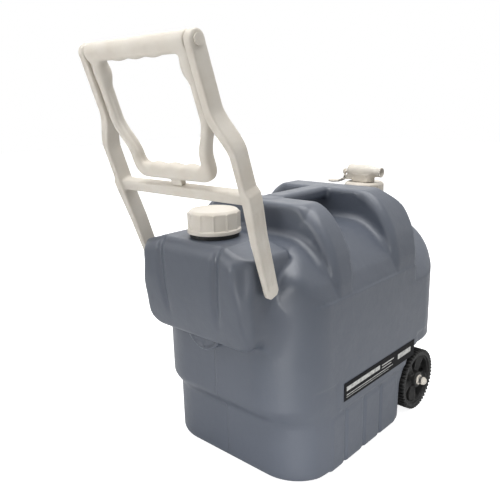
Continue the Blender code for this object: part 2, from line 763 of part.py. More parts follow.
def tap_lever(made):
    """Hub, paddle and the two tines that draw the plunger back."""
    px = LEVER_PIVOT_X
    pz = BARREL_Z - LEVER_PIVOT_DROP
    low, high = TAP_Y - LEVER_HALF, TAP_Y + LEVER_HALF
    hub = rod("hub", "Y", (px, pz), LEVER_HUB_RADIUS, low, high, 24)
    knee = (LEVER_KNEE[0], BARREL_Z + LEVER_KNEE[1])
    tip = (LEVER_TIP[0], BARREL_Z + LEVER_TIP[1])
    thick = LEVER_THICKNESS
    outline = [(px, pz + thick / 2), (knee[0], knee[1] + thick / 2), (tip[0], tip[1] + thick / 2),
               (tip[0], tip[1] - thick / 2), (knee[0] - thick / 4, knee[1] - thick / 2),
               (px - thick, pz - thick)]
    paddle = prism("paddle", outline, "Y", low, high)
    tines = [lever_tine(1), lever_tine(-1)]
    bore = rod("bore", "Y", (px, pz), LEVER_PIN_RADIUS + GAP, low - 0.01, high + 0.01, 20)
    lever = combine(combine(hub, [paddle] + tines, "UNION"), [bore], "DIFFERENCE")
    return set_origin(complete(lever, "tap_lever", made), (px, TAP_Y, pz))


def lever_tine(side):
    """One tine beside the plunger's rod."""
    low, high = span(side, ROD_RADIUS + 2 * GAP, LEVER_HALF - GAP)
    pz = BARREL_Z - LEVER_PIVOT_DROP
    face = knob_face() + 0.001
    return box("tine", (face, face + TINE_THICKNESS), (TAP_Y + low, TAP_Y + high), (pz, pz + TINE_HEIGHT))


def knob_face():
    """The x of the plunger knob's face that the tines pull on."""
    return LEVER_PIVOT_X - LEVER_HUB_RADIUS - KNOB_BEHIND_HUB


def lever_pin(made):
    """The pin through both ears and the lever's hub."""
    half = LEVER_HALF + GAP + EAR_THICKNESS
    pin = rod("pin", "Y", (LEVER_PIVOT_X, BARREL_Z - LEVER_PIVOT_DROP), LEVER_PIN_RADIUS,
              TAP_Y - half, TAP_Y + half, 20)
    return complete(pin, "tap_lever_pin", made)


def head_face():
    """The x of the plunger head's face behind its seal."""
    return SEAT_X - GAP - HEAD_THICKNESS


def tap_plunger(made):
    """Rod with a head in the chamber and a knob behind the tines."""
    head = CHAMBER_RADIUS - 2 * GAP
    face = head_face() - GAP
    knob = knob_face()
    knob_radius = ROD_RADIUS + KNOB_REACH
    profile = [(0, knob - 0.003), (knob_radius, knob - 0.003), (knob_radius, knob), (ROD_RADIUS, knob),
               (ROD_RADIUS, face - HEAD_THICKNESS), (head, face - HEAD_THICKNESS), (head, face), (0, face)]
    piece = turned("plunger", profile, "X", (TAP_Y, BARREL_Z), 32)
    return complete(piece, "tap_plunger", made)


def plunger_seal(made):
    """The disc that the plunger presses on its seat."""
    head = CHAMBER_RADIUS - 2 * GAP
    face = head_face()
    profile = [(0, face), (head, face), (head, face + HEAD_THICKNESS), (0, face + HEAD_THICKNESS)]
    return complete(turned("disc", profile, "X", (TAP_Y, BARREL_Z), 32), "plunger_seal", made)


def plunger_spring(made):
    """The spring behind the head, as a sleeve at its pressed length."""
    outer = CHAMBER_RADIUS - 2 * GAP
    inner = outer - SPRING_WALL
    high = head_face() - 2 * GAP - HEAD_THICKNESS - VALVE_TRAVEL
    low = -BARREL_REAR + CHAMBER_WALL + GAP
    profile = [(inner, low), (outer, low), (outer, high), (inner, high)]
    return complete(turned("spring", profile, "X", (TAP_Y, BARREL_Z), 28), "plunger_spring", made)


# Handle, in its own upright plane: x across, y its depth, z the distance along the legs

def stand_up(obj):
    """Leans a piece made in the handle's plane and puts its origin on the pivot line."""
    obj.rotation_euler.x = math.radians(LEAN_DEG)
    obj.location = (0, PIVOT_Y, PIVOT_Z)
    return obj


def bend(from_x, to_x, start, length, steps=8):
    """A smooth sideways shift of an edge along the legs."""
    points = []
    for i in range(steps + 1):
        t = i / steps
        ease = (1 - math.cos(math.pi * t)) / 2
        points.append((from_x + (to_x - from_x) * ease, start + length * t))
    return points


def leg_front():
    """Front outline (x, along) of the right leg, anticlockwise from its foot."""
    outer_mid = UPPER_LEG_INNER + UPPER_LEG_WIDTH
    knee = LEG_INNER + LEG_KNEE_WIDTH
    outer = [(LEG_INNER + LEG_FOOT_WIDTH, -LEG_END), (LEG_INNER + LEG_FOOT_WIDTH, 0), (knee, LEG_KNEE_ALONG),
             (LEDGE_OUTER, LEDGE_ALONG), (LEDGE_OUTER, LEDGE_ALONG + LEDGE_LENGTH),
             (outer_mid, LEDGE_ALONG + LEDGE_END)]
    outer += bend(outer_mid, UPPER_INNER + UPPER_WIDTH, BEND_START, BEND_LENGTH)
    outer += [(UPPER_INNER + UPPER_WIDTH, LEG_TOP)]
    inner = [(UPPER_INNER, LEG_TOP)]
    inner += list(reversed(bend(UPPER_LEG_INNER, UPPER_INNER, BEND_START - INNER_BEND_AHEAD, BEND_LENGTH)))
    inner += [(UPPER_LEG_INNER, LEDGE_ALONG), (LEG_INNER, LEG_KNEE_ALONG), (LEG_INNER, -LEG_END)]
    return outer + inner


def leg_side():
    """Side outline (depth, along) of a leg: straight, with a round end at both pivots."""
    half = LEG_DEPTH / 2
    foot = [(half * math.cos(a), LEG_END * math.sin(a)) for a in (math.radians(180 + 15 * i) for i in range(13))]
    head = [(half * math.cos(a), GRIP_AXIS_ALONG + LEG_END * math.sin(a))
            for a in (math.radians(15 * i) for i in range(13))]
    return foot + head


def leg(side):
    """One leg of the handle."""
    outline = leg_front() if side > 0 else [(-x, s) for x, s in reversed(leg_front())]
    front = prism("leg", outline, "Y", -0.05, 0.05)
    return combine(front, [prism("leg side", leg_side(), "X", -0.2, 0.2)], "INTERSECT")


def handle_frame(made):
    """Both legs, joined by the brace, with a hole at each pivot."""
    reach = UPPER_LEG_INNER + UPPER_LEG_WIDTH / 2
    half = BRACE_DEPTH / 2
    brace = box("brace", (-reach, reach), (-half, half), (BRACE_ALONG, BRACE_ALONG + BRACE_WIDTH))
    frame = combine(leg(1), [leg(-1), brace], "UNION")
    reach = LEG_INNER + PIVOT_SOCKET + GAP
    pivot = rod("pivot", "X", (0, 0), PIVOT_PIN_RADIUS + GAP, -reach, reach, 28)
    top = rod("top", "X", (0, GRIP_AXIS_ALONG), GRIP_PIN_RADIUS + GAP, -0.2, 0.2, 28)
    frame = combine(frame, [pivot, top], "DIFFERENCE")
    return stand_up(complete(frame, "handle_frame", made))


def grip_outer():
    """Outer outline (x, along) of the grip frame."""
    top = GRIP_AXIS_ALONG + LEG_END
    low = GRIP_LOW
    half = [(0, low)]
    half += arc(GRIP_NARROW_HALF - GRIP_CORNER, low + GRIP_CORNER, GRIP_CORNER, -90, 0, 4)
    half += bend(GRIP_NARROW_HALF, GRIP_HALF, GRIP_BEND_LOW, GRIP_BEND_HIGH - GRIP_BEND_LOW)
    half += [(GRIP_HALF, top), (0, top)]
    return mirrored(half)


def scallop(x):
    """How far the finger side of a grip swells at x."""
    return SCALLOP_DEPTH * (1 + math.cos(2 * math.pi * x / SCALLOP_PITCH)) / 2


def grip_hole():
    """Outline (x, along) of the hand opening, with finger swells above and below."""
    low = GRIP_LOW + GRIP_LOW_WIDTH
    high = GRIP_AXIS_ALONG - GRIP_BAR_DROP
    narrow = GRIP_NARROW_HALF - GRIP_NARROW_ARM
    finger = 1.5 * SCALLOP_PITCH
    xs = [finger * i / 12 for i in range(13)]
    half = [(x, low + scallop(x)) for x in xs]
    half += arc(narrow - 0.006, low + 0.006, 0.006, -90, 0, 3)
    half += bend(narrow, RING_HOLE_HALF, GRIP_BEND_LOW, GRIP_BEND_HIGH - GRIP_BEND_LOW)
    half += arc(RING_HOLE_HALF - 0.008, high - 0.008, 0.008, 0, 90, 3)
    half += [(x, high - scallop(x)) for x in reversed(xs)]
    return mirrored(half)


def grip_frame(made):
    """The ring with two finger grips; its top bar turns on the pins in the leg ends."""
    ring = prism("ring", grip_outer(), "Y", -0.05, 0.05)
    half = GRIP_DEPTH / 2
    bar = LEG_DEPTH / 2
    reach = math.degrees(math.asin(half / bar))
    side = arc(0, GRIP_AXIS_ALONG, bar, -90 + reach, 270 - reach, 18)
    side += [(-half, GRIP_LOW - 0.01), (half, GRIP_LOW - 0.01)]
    ring = combine(ring, [prism("ring side", side, "X", -0.2, 0.2)], "INTERSECT")
    opening = prism("opening", grip_hole(), "Y", -0.06, 0.06)
    nub_low = BRACE_ALONG + BRACE_WIDTH + GAP
    nub = box("nub", (-NUB_HALF, NUB_HALF), (-NUB_DEPTH / 2, NUB_DEPTH / 2), (nub_low, GRIP_LOW + 0.002))
    ring = combine(combine(ring, [nub], "UNION"), [opening] + both_sides(grip_pin_hole), "DIFFERENCE")
    return stand_up(complete(ring, "grip_frame", made))


def grip_pin_hole(side):
    """The blind hole for a grip pin in the end of the top bar."""
    low, high = span(side, GRIP_HALF - GRIP_PIN_DEPTH - GAP, GRIP_HALF + 0.002)
    return rod("hole", "X", (0, GRIP_AXIS_ALONG), GRIP_PIN_RADIUS + GAP, low, high, 28)


def headed_pin(radius, head_radius, start, head_at, centre, steps=28):
    """A pin from start outwards, with a flat head whose inner face is at head_at."""
    end = head_at + PIN_HEAD_HEIGHT
    profile = [(0, start), (radius, start), (radius, head_at), (head_radius, head_at), (head_radius, end), (0, end)]
    return turned("pin", profile, "X", centre, steps)


def mirror_x(obj, side):
    """The piece on the right as it is, or mirrored to the left."""
    if side > 0:
        return obj
    bm = bmesh.new()
    bm.from_mesh(obj.data)
    for vertex in bm.verts:
        vertex.co.x = -vertex.co.x
    bmesh.ops.reverse_faces(bm, faces=bm.faces)
    bm.to_mesh(obj.data)
    bm.free()
    return obj


def pivot_pin(side, name, made):
    """The plain pin that holds a leg to the waist of the tank, hidden in the leg's foot."""
    low, high = span(side, WAIST_HALF - PIVOT_PIN_DEPTH, LEG_INNER + PIVOT_SOCKET)
    return complete(rod("pin", "X", (PIVOT_Y, PIVOT_Z), PIVOT_PIN_RADIUS, low, high, 28), name, made)


def grip_pin(side, name, made):
    """The pin between a leg end and the top bar of the grip frame."""
    head_at = UPPER_INNER + UPPER_WIDTH + GAP
    pin = headed_pin(GRIP_PIN_RADIUS, GRIP_HEAD_RADIUS, GRIP_HALF - GRIP_PIN_DEPTH, head_at,
                     (0, GRIP_AXIS_ALONG))
    return stand_up(complete(mirror_x(pin, side), name, made))


# Wheels and axle

def wheel(side, name, made):
    """A moulded wheel: hub, pierced web and broad rim."""
    rim = WHEEL_RADIUS - RIM_THICKNESS
    inner, outer = WHEEL_INNER, WHEEL_OUTER
    middle = (inner + outer) / 2
    web_in, web_out = middle - WEB_WIDTH / 2, middle + WEB_WIDTH / 2
    bore = AXLE_RADIUS + GAP
    profile = [(bore, inner), (HUB_RADIUS, inner), (HUB_RADIUS, web_in), (rim, web_in), (rim, inner),
               (WHEEL_RADIUS - 0.002, inner), (WHEEL_RADIUS, inner + 0.003), (WHEEL_RADIUS, outer - 0.003),
               (WHEEL_RADIUS - 0.002, outer), (rim, outer), (rim, web_out), (HUB_RADIUS, web_out),
               (HUB_RADIUS, outer), (bore, outer)]
    piece = turned("wheel", profile, "X", (WHEEL_Y, WHEEL_Z), 48)
    windows = [wheel_window(i, rim) for i in range(WINDOW_COUNT)]
    piece = mirror_x(combine(piece, windows, "DIFFERENCE"), side)
    return set_origin(complete(piece, name, made), (side * middle, WHEEL_Y, WHEEL_Z))


def wheel_window(index, rim):
    """One opening in the web, between two spokes."""
    middle = 90 + 360 * index / WINDOW_COUNT
    half = WINDOW_SPAN_DEG / 2
    outer = arc(WHEEL_Y, WHEEL_Z, rim - WINDOW_MARGIN, middle - half, middle + half, 5)
    inner = arc(WHEEL_Y, WHEEL_Z, HUB_RADIUS + WINDOW_MARGIN, middle + half, middle - half, 3)
    return prism("window", outer + inner, "X", 0.05, 0.25)


def axle(made):
    """The rod through the housing and both wheels."""
    half = WHEEL_OUTER + 2 * GAP + WASHER_THICKNESS + NUT_LENGTH - NUT_FLOOR - GAP
    piece = rod("axle", "X", (WHEEL_Y, WHEEL_Z), AXLE_RADIUS, -half, half)
    return set_origin(complete(piece, "axle", made), (0, WHEEL_Y, WHEEL_Z))


def ring_on_axle(side, name, made, start, length, radius):
    """A spacer or washer on the axle."""
    bore = AXLE_RADIUS + GAP
    profile = [(bore, start), (radius, start), (radius, start + length), (bore, start + length)]
    return complete(mirror_x(turned("ring", profile, "X", (WHEEL_Y, WHEEL_Z), 36), side), name, made)


def axle_nut(side, name, made):
    """The push-on cap over the end of the axle."""
    bore = AXLE_RADIUS + GAP
    start = WHEEL_OUTER + 2 * GAP + WASHER_THICKNESS
    end = start + NUT_LENGTH
    profile = [(bore, start), (NUT_RADIUS, start), (NUT_RADIUS, end - 0.003), (NUT_RADIUS - 0.003, end), (0, end),
               (0, end - NUT_FLOOR), (bore, end - NUT_FLOOR)]
    return complete(mirror_x(turned("nut", profile, "X", (WHEEL_Y, WHEEL_Z), 36), side), name, made)


def wheel_set(black, white, steel):
    """Axle, wheels and what holds them."""
    axle(steel)
    for side, word in ((1, "right"), (-1, "left")):
        wheel(side, "wheel_" + word, black)
        ring_on_axle(side, "wheel_spacer_" + word, black, HOUSING_HALF + GAP, SPACER_LENGTH, SPACER_RADIUS)
        ring_on_axle(side, "wheel_washer_" + word, white, WHEEL_OUTER + GAP, WASHER_THICKNESS, WASHER_RADIUS)
        axle_nut(side, "axle_nut_" + word, white)


def handle_set(ivory):
    """Handle frame, grip frame and their pins."""
    handle_frame(ivory)
    grip_frame(ivory)
    for side, word in ((1, "right"), (-1, "left")):
        pivot_pin(side, "pivot_pin_" + word, ivory)
        grip_pin(side, "grip_pin_" + word, ivory)


def tap_set(ivory, rubber, steel):
    """The tap and what is in it."""
    tap_body(ivory)
    tap_lever(ivory)
    lever_pin(steel)
    tap_plunger(ivory)
    plunger_seal(rubber)
    plunger_spring(steel)


def main():
    for obj in list(bpy.data.objects):
        bpy.data.objects.remove(obj)
    slate = material("slate plastic", (0.090, 0.100, 0.118), 0.55)
    ivory = material("ivory plastic", (0.74, 0.69, 0.62), 0.38)
    black = material("black plastic", (0.018, 0.017, 0.017), 0.60)
    dark = material("black band", (0.010, 0.010, 0.011), 0.45)
    rubber = material("rubber", (0.020, 0.020, 0.022), 0.80)
    steel = material("steel", (0.60, 0.60, 0.60), 0.30, 1.0)
    tank_shell(slate)
    side_label(dark)
    for word, y, deck in (("filler", FILLER_Y, BLOCK_TOP), ("tap", TAP_Y, DECK)):
        collar(word + "_collar", y, deck, black)
        seal(word + "_seal", y, deck, rubber)
    filler_cap(ivory)
    tap_cap(ivory)
    tap_set(ivory, rubber, steel)
    handle_set(ivory)
    wheel_set(black, ivory, steel)


main()
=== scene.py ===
import math

import bpy
import numpy as np
from numpy import hypot, maximum, minimum
from mathutils import Matrix, Vector


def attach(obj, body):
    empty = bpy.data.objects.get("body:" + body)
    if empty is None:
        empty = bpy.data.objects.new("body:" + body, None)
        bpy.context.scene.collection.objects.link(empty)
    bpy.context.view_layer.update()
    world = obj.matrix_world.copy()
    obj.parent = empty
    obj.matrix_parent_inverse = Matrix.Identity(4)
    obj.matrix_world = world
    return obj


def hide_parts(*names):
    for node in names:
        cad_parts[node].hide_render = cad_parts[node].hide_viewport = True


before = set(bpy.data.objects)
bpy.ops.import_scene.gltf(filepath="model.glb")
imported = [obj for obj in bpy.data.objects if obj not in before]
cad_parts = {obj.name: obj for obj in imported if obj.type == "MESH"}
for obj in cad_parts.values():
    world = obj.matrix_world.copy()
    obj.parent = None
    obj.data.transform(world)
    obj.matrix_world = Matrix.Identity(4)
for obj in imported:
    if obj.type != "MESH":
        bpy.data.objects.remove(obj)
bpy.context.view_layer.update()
print("frame loaded")


diagonal = 0.7071  # 1 / sqrt 2


# a field gives each point its distance to a surface, minus inside; fields join by min and cut by max

def joinSoft(a, b, r):
    # the smaller of two fields, with a fillet of size r where they meet
    h = maximum(r - abs(a - b), 0) / r
    return minimum(a, b) - h * h * r / 4


def cutSoft(a, b, r):
    # the larger of two fields, with an edge rounded by r where they meet
    h = maximum(r - abs(a - b), 0) / r
    return maximum(a, b) + h * h * r / 4


def cutRound(a, b, r):
    # a true arc of radius r where the two faces meet
    return minimum(maximum(a, b), -r) + hypot(maximum(a + r, 0), maximum(b + r, 0))


def bump(t):
    # a bell curve, 1 at the middle
    return np.exp(-t * t)


def ease(t):
    # 0 to 1 with level ends: 3 t^2 - 2 t^3
    t = np.clip(t, 0, 1)
    return t * t * (3 - 2 * t)


def ramp(v, start, width):
    # rises from 0 to 1 over the width after the start; a minus width makes it fall
    return ease((v - start) / width)


def rising(v, least, more, start, width):
    # the least value, and more of it on that ramp
    return least + more * ramp(v, start, width)


def between(v, low, high):
    # distance to the range from low to high, minus inside
    return maximum(low - v, v - high)


def slab(v, middle, half):
    # the same for a range given by its middle
    return abs(v - middle) - half


def roundRect(u, v, halfU, halfV, r):
    # distance to a rectangle with round corners: corner circle outside, nearest side inside
    qu = abs(u) - halfU + r
    qv = abs(v) - halfV + r
    return hypot(maximum(qu, 0), maximum(qv, 0)) + minimum(maximum(qu, qv), 0) - r


def crownCurve(ax, z, flat, wide, low, high, power):
    # superellipse quarter: (u^p + v^p)^(1/p) = 1 between the side and the top
    u = maximum(ax - flat, 0) / (wide - flat)
    v = maximum(z - low, 0) / (high - low)
    g = (u ** power + v ** power) ** (1 / power)
    return (g - 1) * 0.5 * (wide - flat + high - low)


net = {"pulls": 4, "slopeStep": 0.1, "longestStep": 0.5}


def netMesh(field, piece, half=False):
    # a vertex in every cell that the surface crosses, at the mean of its crossings, then pulled onto it
    cell = piece["cell"]
    low = np.array(piece["low"], float)
    high = np.array(piece["high"], float)
    if half:
        low[0] = -cell / 2
    counts = np.ceil((high - low) / cell).astype(int) + 1
    axes = [low[i] + cell * np.arange(counts[i]) for i in range(3)]
    value = field(*np.meshgrid(*axes, indexing="ij"))
    inside = value < 0
    cx, cy, cz = counts - 1
    corners = [(i, j, k) for i in (0, 1) for j in (0, 1) for k in (0, 1)]
    filled = sum(inside[i:i + cx, j:j + cy, k:k + cz].astype(np.int8) for i, j, k in corners)
    active = (filled > 0) & (filled < 8)
    number = np.full(active.shape, -1)
    number[active] = np.arange(active.sum())
    cells = np.argwhere(active)
    total = np.zeros((len(cells), 3))
    hits = np.zeros(len(cells))
    for a in corners:
        for axis in range(3):
            if a[axis]:
                continue
            b = list(a)
            b[axis] = 1
            pa = cells + a
            pb = cells + b
            va, vb = (value[tuple(p.T)] for p in (pa, pb))
            crosses = (va < 0) != (vb < 0)
            t = np.where(crosses, va / np.where(crosses, va - vb, 1), 0)
            total += crosses[:, None] * (pa + t[:, None] * (pb - pa))
            hits += crosses
    points = low + cell * total / hits[:, None]
    for _ in range(net["pulls"]):
        points -= pullBack(field, points, cell)
        if half:
            points[cells[:, 0] == 0, 0] = 0
    quads = []
    for axis in range(3):
        b, c = [i for i in range(3) if i != axis]
        first = inside.take(np.arange(counts[axis] - 1), axis)
        change = np.argwhere(first != inside.take(np.arange(1, counts[axis]), axis))
        for side in (b, c):
            change = change[(change[:, side] > 0) & (change[:, side] < counts[side] - 1)]
        outward = first[tuple(change.T)]
        ring = []
        for db, dc in ((1, 1), (0, 1), (0, 0), (1, 0)):
            at = change.copy()
            at[:, b] -= db
            at[:, c] -= dc
            ring.append(number[tuple(at.T)])
        quad = np.stack(ring, axis=1)
        flip = outward if axis == 1 else ~outward
        quad[flip] = quad[flip][:, ::-1]
        quads.append(quad)
    return points, np.concatenate(quads)


def pullBack(field, points, cell):
    # a step along the field's slope, at most half a cell: value * slope / |slope|^2
    e = cell * net["slopeStep"]
    x, y, z = points.T
    value = field(x, y, z)
    slope = np.stack([field(x + e, y, z) - field(x - e, y, z), field(x, y + e, z) - field(x, y - e, z),
                      field(x, y, z + e) - field(x, y, z - e)], axis=1) / (2 * e)
    step = slope * (value / maximum((slope ** 2).sum(axis=1), 1e-6))[:, None]
    length = np.linalg.norm(step, axis=1, keepdims=True)
    return step * minimum(1, net["longestStep"] * cell / maximum(length, 1e-12))


def addObject(name, data):
    obj = bpy.data.objects.new(name, data)
    bpy.context.collection.objects.link(obj)
    return obj


def addPiece(name, points, faces, slotName, body, nodes, sharp=None):
    # the slot's name is also the name of the finish
    mesh = bpy.data.meshes.new(name)
    mesh.from_pydata(points.tolist(), [], faces.tolist() if hasattr(faces, "tolist") else faces)
    mesh.validate()
    mesh.update()
    mesh.shade_smooth()
    if sharp:
        mesh.set_sharp_from_angle(angle=math.radians(sharp))
    obj = addObject(name, mesh)
    obj.data.materials.append(finishes[slotName])
    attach(obj, body)
    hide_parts(*nodes)
    print("made", name, len(mesh.polygons))


def turnedGrid(profile, steps, swell=None):
    # a closed profile of (radius, along) turned round an axis; swell(angle, row) scales the radius
    profile = np.array(profile, float)
    angle = np.linspace(0, 2 * math.pi, steps, endpoint=False)
    radius, along = (np.repeat(profile[:, k:k + 1], steps, axis=1) for k in (0, 1))
    if swell:
        radius = radius * swell(angle[None, :], profile)
    points = np.stack([radius * np.cos(angle), radius * np.sin(angle), along], axis=2).reshape(-1, 3)
    rows = len(profile)
    loop = profile[0, 0] > 0
    i = np.arange(rows if loop else rows - 1)[:, None]
    j = np.arange(steps)[None, :]
    k = (i + 1) % rows
    jj = (j + 1) % steps
    faces = [i * steps + j, i * steps + jj, k * steps + jj, k * steps + j]
    faces = np.stack(faces, axis=2).reshape(-1, 4)
    if loop:
        return points, faces
    # both ends lie on the axis, so each end row becomes one point
    last = (rows - 1) * steps
    faces[faces < steps] = 0
    faces[faces >= last] = last
    order = [list(dict.fromkeys(face)) for face in faces.tolist()]
    used = np.unique(np.concatenate([np.array(face) for face in order]))
    number = np.full(len(points), -1)
    number[used] = np.arange(len(used))
    return points[used], [[int(number[v]) for v in face] for face in order]


def rounded(profile, size, steps):
    # each inner corner of an open profile becomes a short quadratic curve
    mostOfSide = 0.45
    points = [profile[0]]
    for before, at, after in zip(profile, profile[1:], profile[2:]):
        b, m, a = (np.array(p, float) for p in (before, at, after))
        start, end = (m + (p - m) * min(size / max(np.linalg.norm(p - m), 1e-9), mostOfSide)
                      for p in (b, a))
        for t in np.linspace(0, 1, steps + 1):
            points.append(tuple((1 - t) ** 2 * start + 2 * t * (1 - t) * m + t * t * end))
    points.append(profile[-1])
    return points


# materials

def nodesOf(name):
    material = bpy.data.materials.new(name)
    material.use_nodes = True
    tree = material.node_tree
    return material, tree, tree.nodes["Principled BSDF"]


def addNode(tree, kind, values=()):
    # each value is a socket or a plain number, by the input's name or place
    node = tree.nodes.new("ShaderNode" + kind)
    for key, value in dict(values).items():
        if isinstance(value, bpy.types.NodeSocket):
            tree.links.new(value, node.inputs[key])
        else:
            node.inputs[key].default_value = value
    return node


def noiseNode(tree, scale, detail, rough=0.55, stretch=None):
    place = addNode(tree, "TexCoord").outputs["Object"]
    if stretch:
        place = addNode(tree, "Mapping", {"Scale": stretch, "Vector": place}).outputs["Vector"]
    values = {"Scale": scale, "Detail": detail, "Roughness": rough, "Vector": place}
    return addNode(tree, "TexNoise", values).outputs["Fac"]


def rampNode(tree, source, stops):
    node = addNode(tree, "ValToRGB", {"Fac": source})
    elements = node.color_ramp.elements
    while len(elements) < len(stops):
        elements.new(0.5)
    for element, (place, colour) in zip(elements, stops):
        element.position = place
        element.color = (*colour, 1)
    return node.outputs["Color"]


def rangeNode(tree, source, low, high, fromLow=0.3, fromHigh=0.7):
    values = {"From Min": fromLow, "From Max": fromHigh, "To Min": low, "To Max": high, "Value": source}
    return addNode(tree, "MapRange", values).outputs["Result"]


def bumpNode(tree, source, distance, strength, before=None):
    values = {"Distance": distance, "Strength": strength, "Height": source}
    if before:
        values["Normal"] = before
    return addNode(tree, "Bump", values).outputs["Normal"]


def mathNode(tree, kind, *values):
    node = addNode(tree, "Math", enumerate(values))
    node.operation = kind
    return node.outputs[0]


def mixNode(tree, amount, first, second, output):
    # the first shader at 0 and the second at 1, led to the output
    node = addNode(tree, "MixShader", enumerate((amount, first, second)))
    tree.links.new(node.outputs["Shader"], tree.nodes[output].inputs["Surface"])


def placeNode(tree):
    # the object's own x, y and z
    return addNode(tree, "SeparateXYZ", {"Vector": addNode(tree, "TexCoord").outputs["Object"]}).outputs


seam = {"slope": (0.0003, 0.0015), "top": (0.206, 0.214), "height": 0.001, "strength": 0.9}


def seamNode(tree, before):
    # the mould's parting line, a thin ridge along x = 0 below the filler block
    place = placeNode(tree)
    ridge = rangeNode(tree, mathNode(tree, "ABSOLUTE", place["X"]), 1, 0, *seam["slope"])
    below = rangeNode(tree, place["Z"], 1, 0, *seam["top"])
    height = mathNode(tree, "MULTIPLY", ridge, below)
    return bumpNode(tree, height, seam["height"], seam["strength"], before)


def connect(tree, shader, colour, rough, relief=None):
    for name, source in (("Base Color", colour), ("Roughness", rough), ("Normal", relief)):
        if source:
            tree.links.new(source, shader.inputs[name])


plastic = {"stops": (0.3, 0.5, 0.72), "cloudDetail": 4, "scuffDetail": 5, "scuffRough": 0.7,
           "reliefDetail": 2, "waveStrength": 0.6, "grainStrength": 0.5}


def mouldedPlastic(look):
    # large soft variation of colour, a fine grain and faint scuffs in the gloss
    p = plastic
    material, tree, shader = nodesOf(look["name"])
    cloud = noiseNode(tree, look["cloudScale"], p["cloudDetail"])
    colour = rampNode(tree, cloud, list(zip(p["stops"], (look["low"], look["colour"], look["high"]))))
    scuff = noiseNode(tree, look["scuffScale"], p["scuffDetail"], p["scuffRough"])
    relief = None
    for kind in ("wave", "grain"):
        noise = noiseNode(tree, look[kind + "Scale"], p["reliefDetail"])
        relief = bumpNode(tree, noise, look[kind + "Depth"], p[kind + "Strength"], relief)
    if look.get("seam"):
        relief = seamNode(tree, relief)
    connect(tree, shader, colour, rangeNode(tree, scuff, *look["rough"]), relief)
    shader.inputs["Specular IOR Level"].default_value = look.get("specular", 0.5)
    return material


looks = {
    "tank": {"name": "slatePlastic", "seam": True,
             "colour": (0.068, 0.079, 0.102), "low": (0.062, 0.073, 0.095), "high": (0.075, 0.086, 0.11),
             "cloudScale": 9, "grainScale": 900, "waveScale": 60, "scuffScale": 35,
             "rough": (0.34, 0.46), "waveDepth": 0.0008, "grainDepth": 0.0002, "specular": 0.7},
    "ivory": {"name": "ivoryPlastic",
              "colour": (0.625, 0.58, 0.512), "low": (0.585, 0.534, 0.462), "high": (0.657, 0.617, 0.556),
              "cloudScale": 22, "grainScale": 1200, "waveScale": 120, "scuffScale": 60,
              "rough": (0.42, 0.58), "waveDepth": 0.0005, "grainDepth": 0.00012, "specular": 0.25},
    "black": {"name": "blackPlastic",
              "colour": (0.01, 0.01, 0.01), "low": (0.006, 0.006, 0.006), "high": (0.017, 0.016, 0.015),
              "cloudScale": 60, "grainScale": 1500, "waveScale": 200, "scuffScale": 110,
              "rough": (0.42, 0.66), "waveDepth": 0.0004, "grainDepth": 0.00015, "specular": 0.35},
    "rubber": {"name": "sealRubber",
               "colour": (0.02, 0.02, 0.022), "low": (0.013, 0.013, 0.015), "high": (0.03, 0.03, 0.032),
               "cloudScale": 80, "grainScale": 1600, "waveScale": 300, "scuffScale": 150,
               "rough": (0.66, 0.86), "waveDepth": 0.0002, "grainDepth": 0.0001},
}


steel = {"dark": (0.5, 0.5, 0.5), "light": (0.66, 0.66, 0.65), "rough": (0.24, 0.38), "scale": 300,
         "detail": 3, "lineRough": 0.6, "stretch": (0.05, 1.0, 1.0), "depth": 0.0001, "strength": 0.3}


def brushedSteel(name):
    # fine lines along x, in colour, gloss and relief
    s = steel
    material, tree, shader = nodesOf(name)
    lines = noiseNode(tree, s["scale"], s["detail"], s["lineRough"], s["stretch"])
    colour = rampNode(tree, lines, [(0.3, s["dark"]), (0.7, s["light"])])
    relief = bumpNode(tree, lines, s["depth"], s["strength"])
    connect(tree, shader, colour, rangeNode(tree, lines, *s["rough"]), relief)
    shader.inputs["Metallic"].default_value = 1.0
    return material


finishes = {key: mouldedPlastic(look) for key, look in looks.items()}
finishes["steel"] = brushedSteel("brushedSteel")
print("materials made")


# the tank; most pairs give a ramp's start and width, and four numbers go to rising()

tank = {
    "cell": 0.0026, "low": (0, -0.214, -0.004), "high": (0.156, 0.297, 0.41),
    "halfWidth": 0.15, "frontY": -0.157, "lowerFrontY": -0.135, "rearY": 0.291, "deck": 0.355,
    "frontCorner": 0.085, "lowerCorner": 0.072, "rearCorner": 0.082, "stepLow": 0.087, "stepHigh": 0.123,
    "crownFlat": 0.06, "shoulderStart": 0.27, "crownOver": 0.002, "crownPower": 1.7,
    "deckFillet": 0.026, "shoulder": (0.0002, 0.01, 0.27, 0.03), "baseFillet": 0.01,
    "housingBlend": 0.006, "bossBlend": 0.012, "barBlend": 0.008, "neckBlend": 0.003,
    "pivotY": -0.164, "pivotZ": 0.3095, "tunnelGap": 0.001,
    "necks": ((-0.148, 0.363), (0.246, 0.355)), "neckRadius": 0.031, "neckHeight": 0.028,
    "neckFoot": 0.01,
}
rear = {
    "start": 0.175, "deck": 0.335, "flat": 0.02, "low": 0.24, "power": 1.5, "over": 0.001,
    "fillet": 0.03, "edge": 0.008, "slope": (0.9, 0.44), "blend": 0.016,
    "shoulder": (0.0002, 0.012, 0.24, 0.03),
}
boss = {"radius": 0.037, "spread": 0.003, "height": 0.035, "edge": 0.004}
wheelRoom = {
    "steep": (0.135, 0.051, 0.008), "slope": (0.1452, 0.578, 0.0836), "lean": 0.93,
    "overhangZ": 0.122, "blend": 0.012, "edge": 0.007,
}
housing = {"half": 0.1224, "radius": 0.0395, "frontY": 0.1, "top": 0.135, "edge": 0.006}
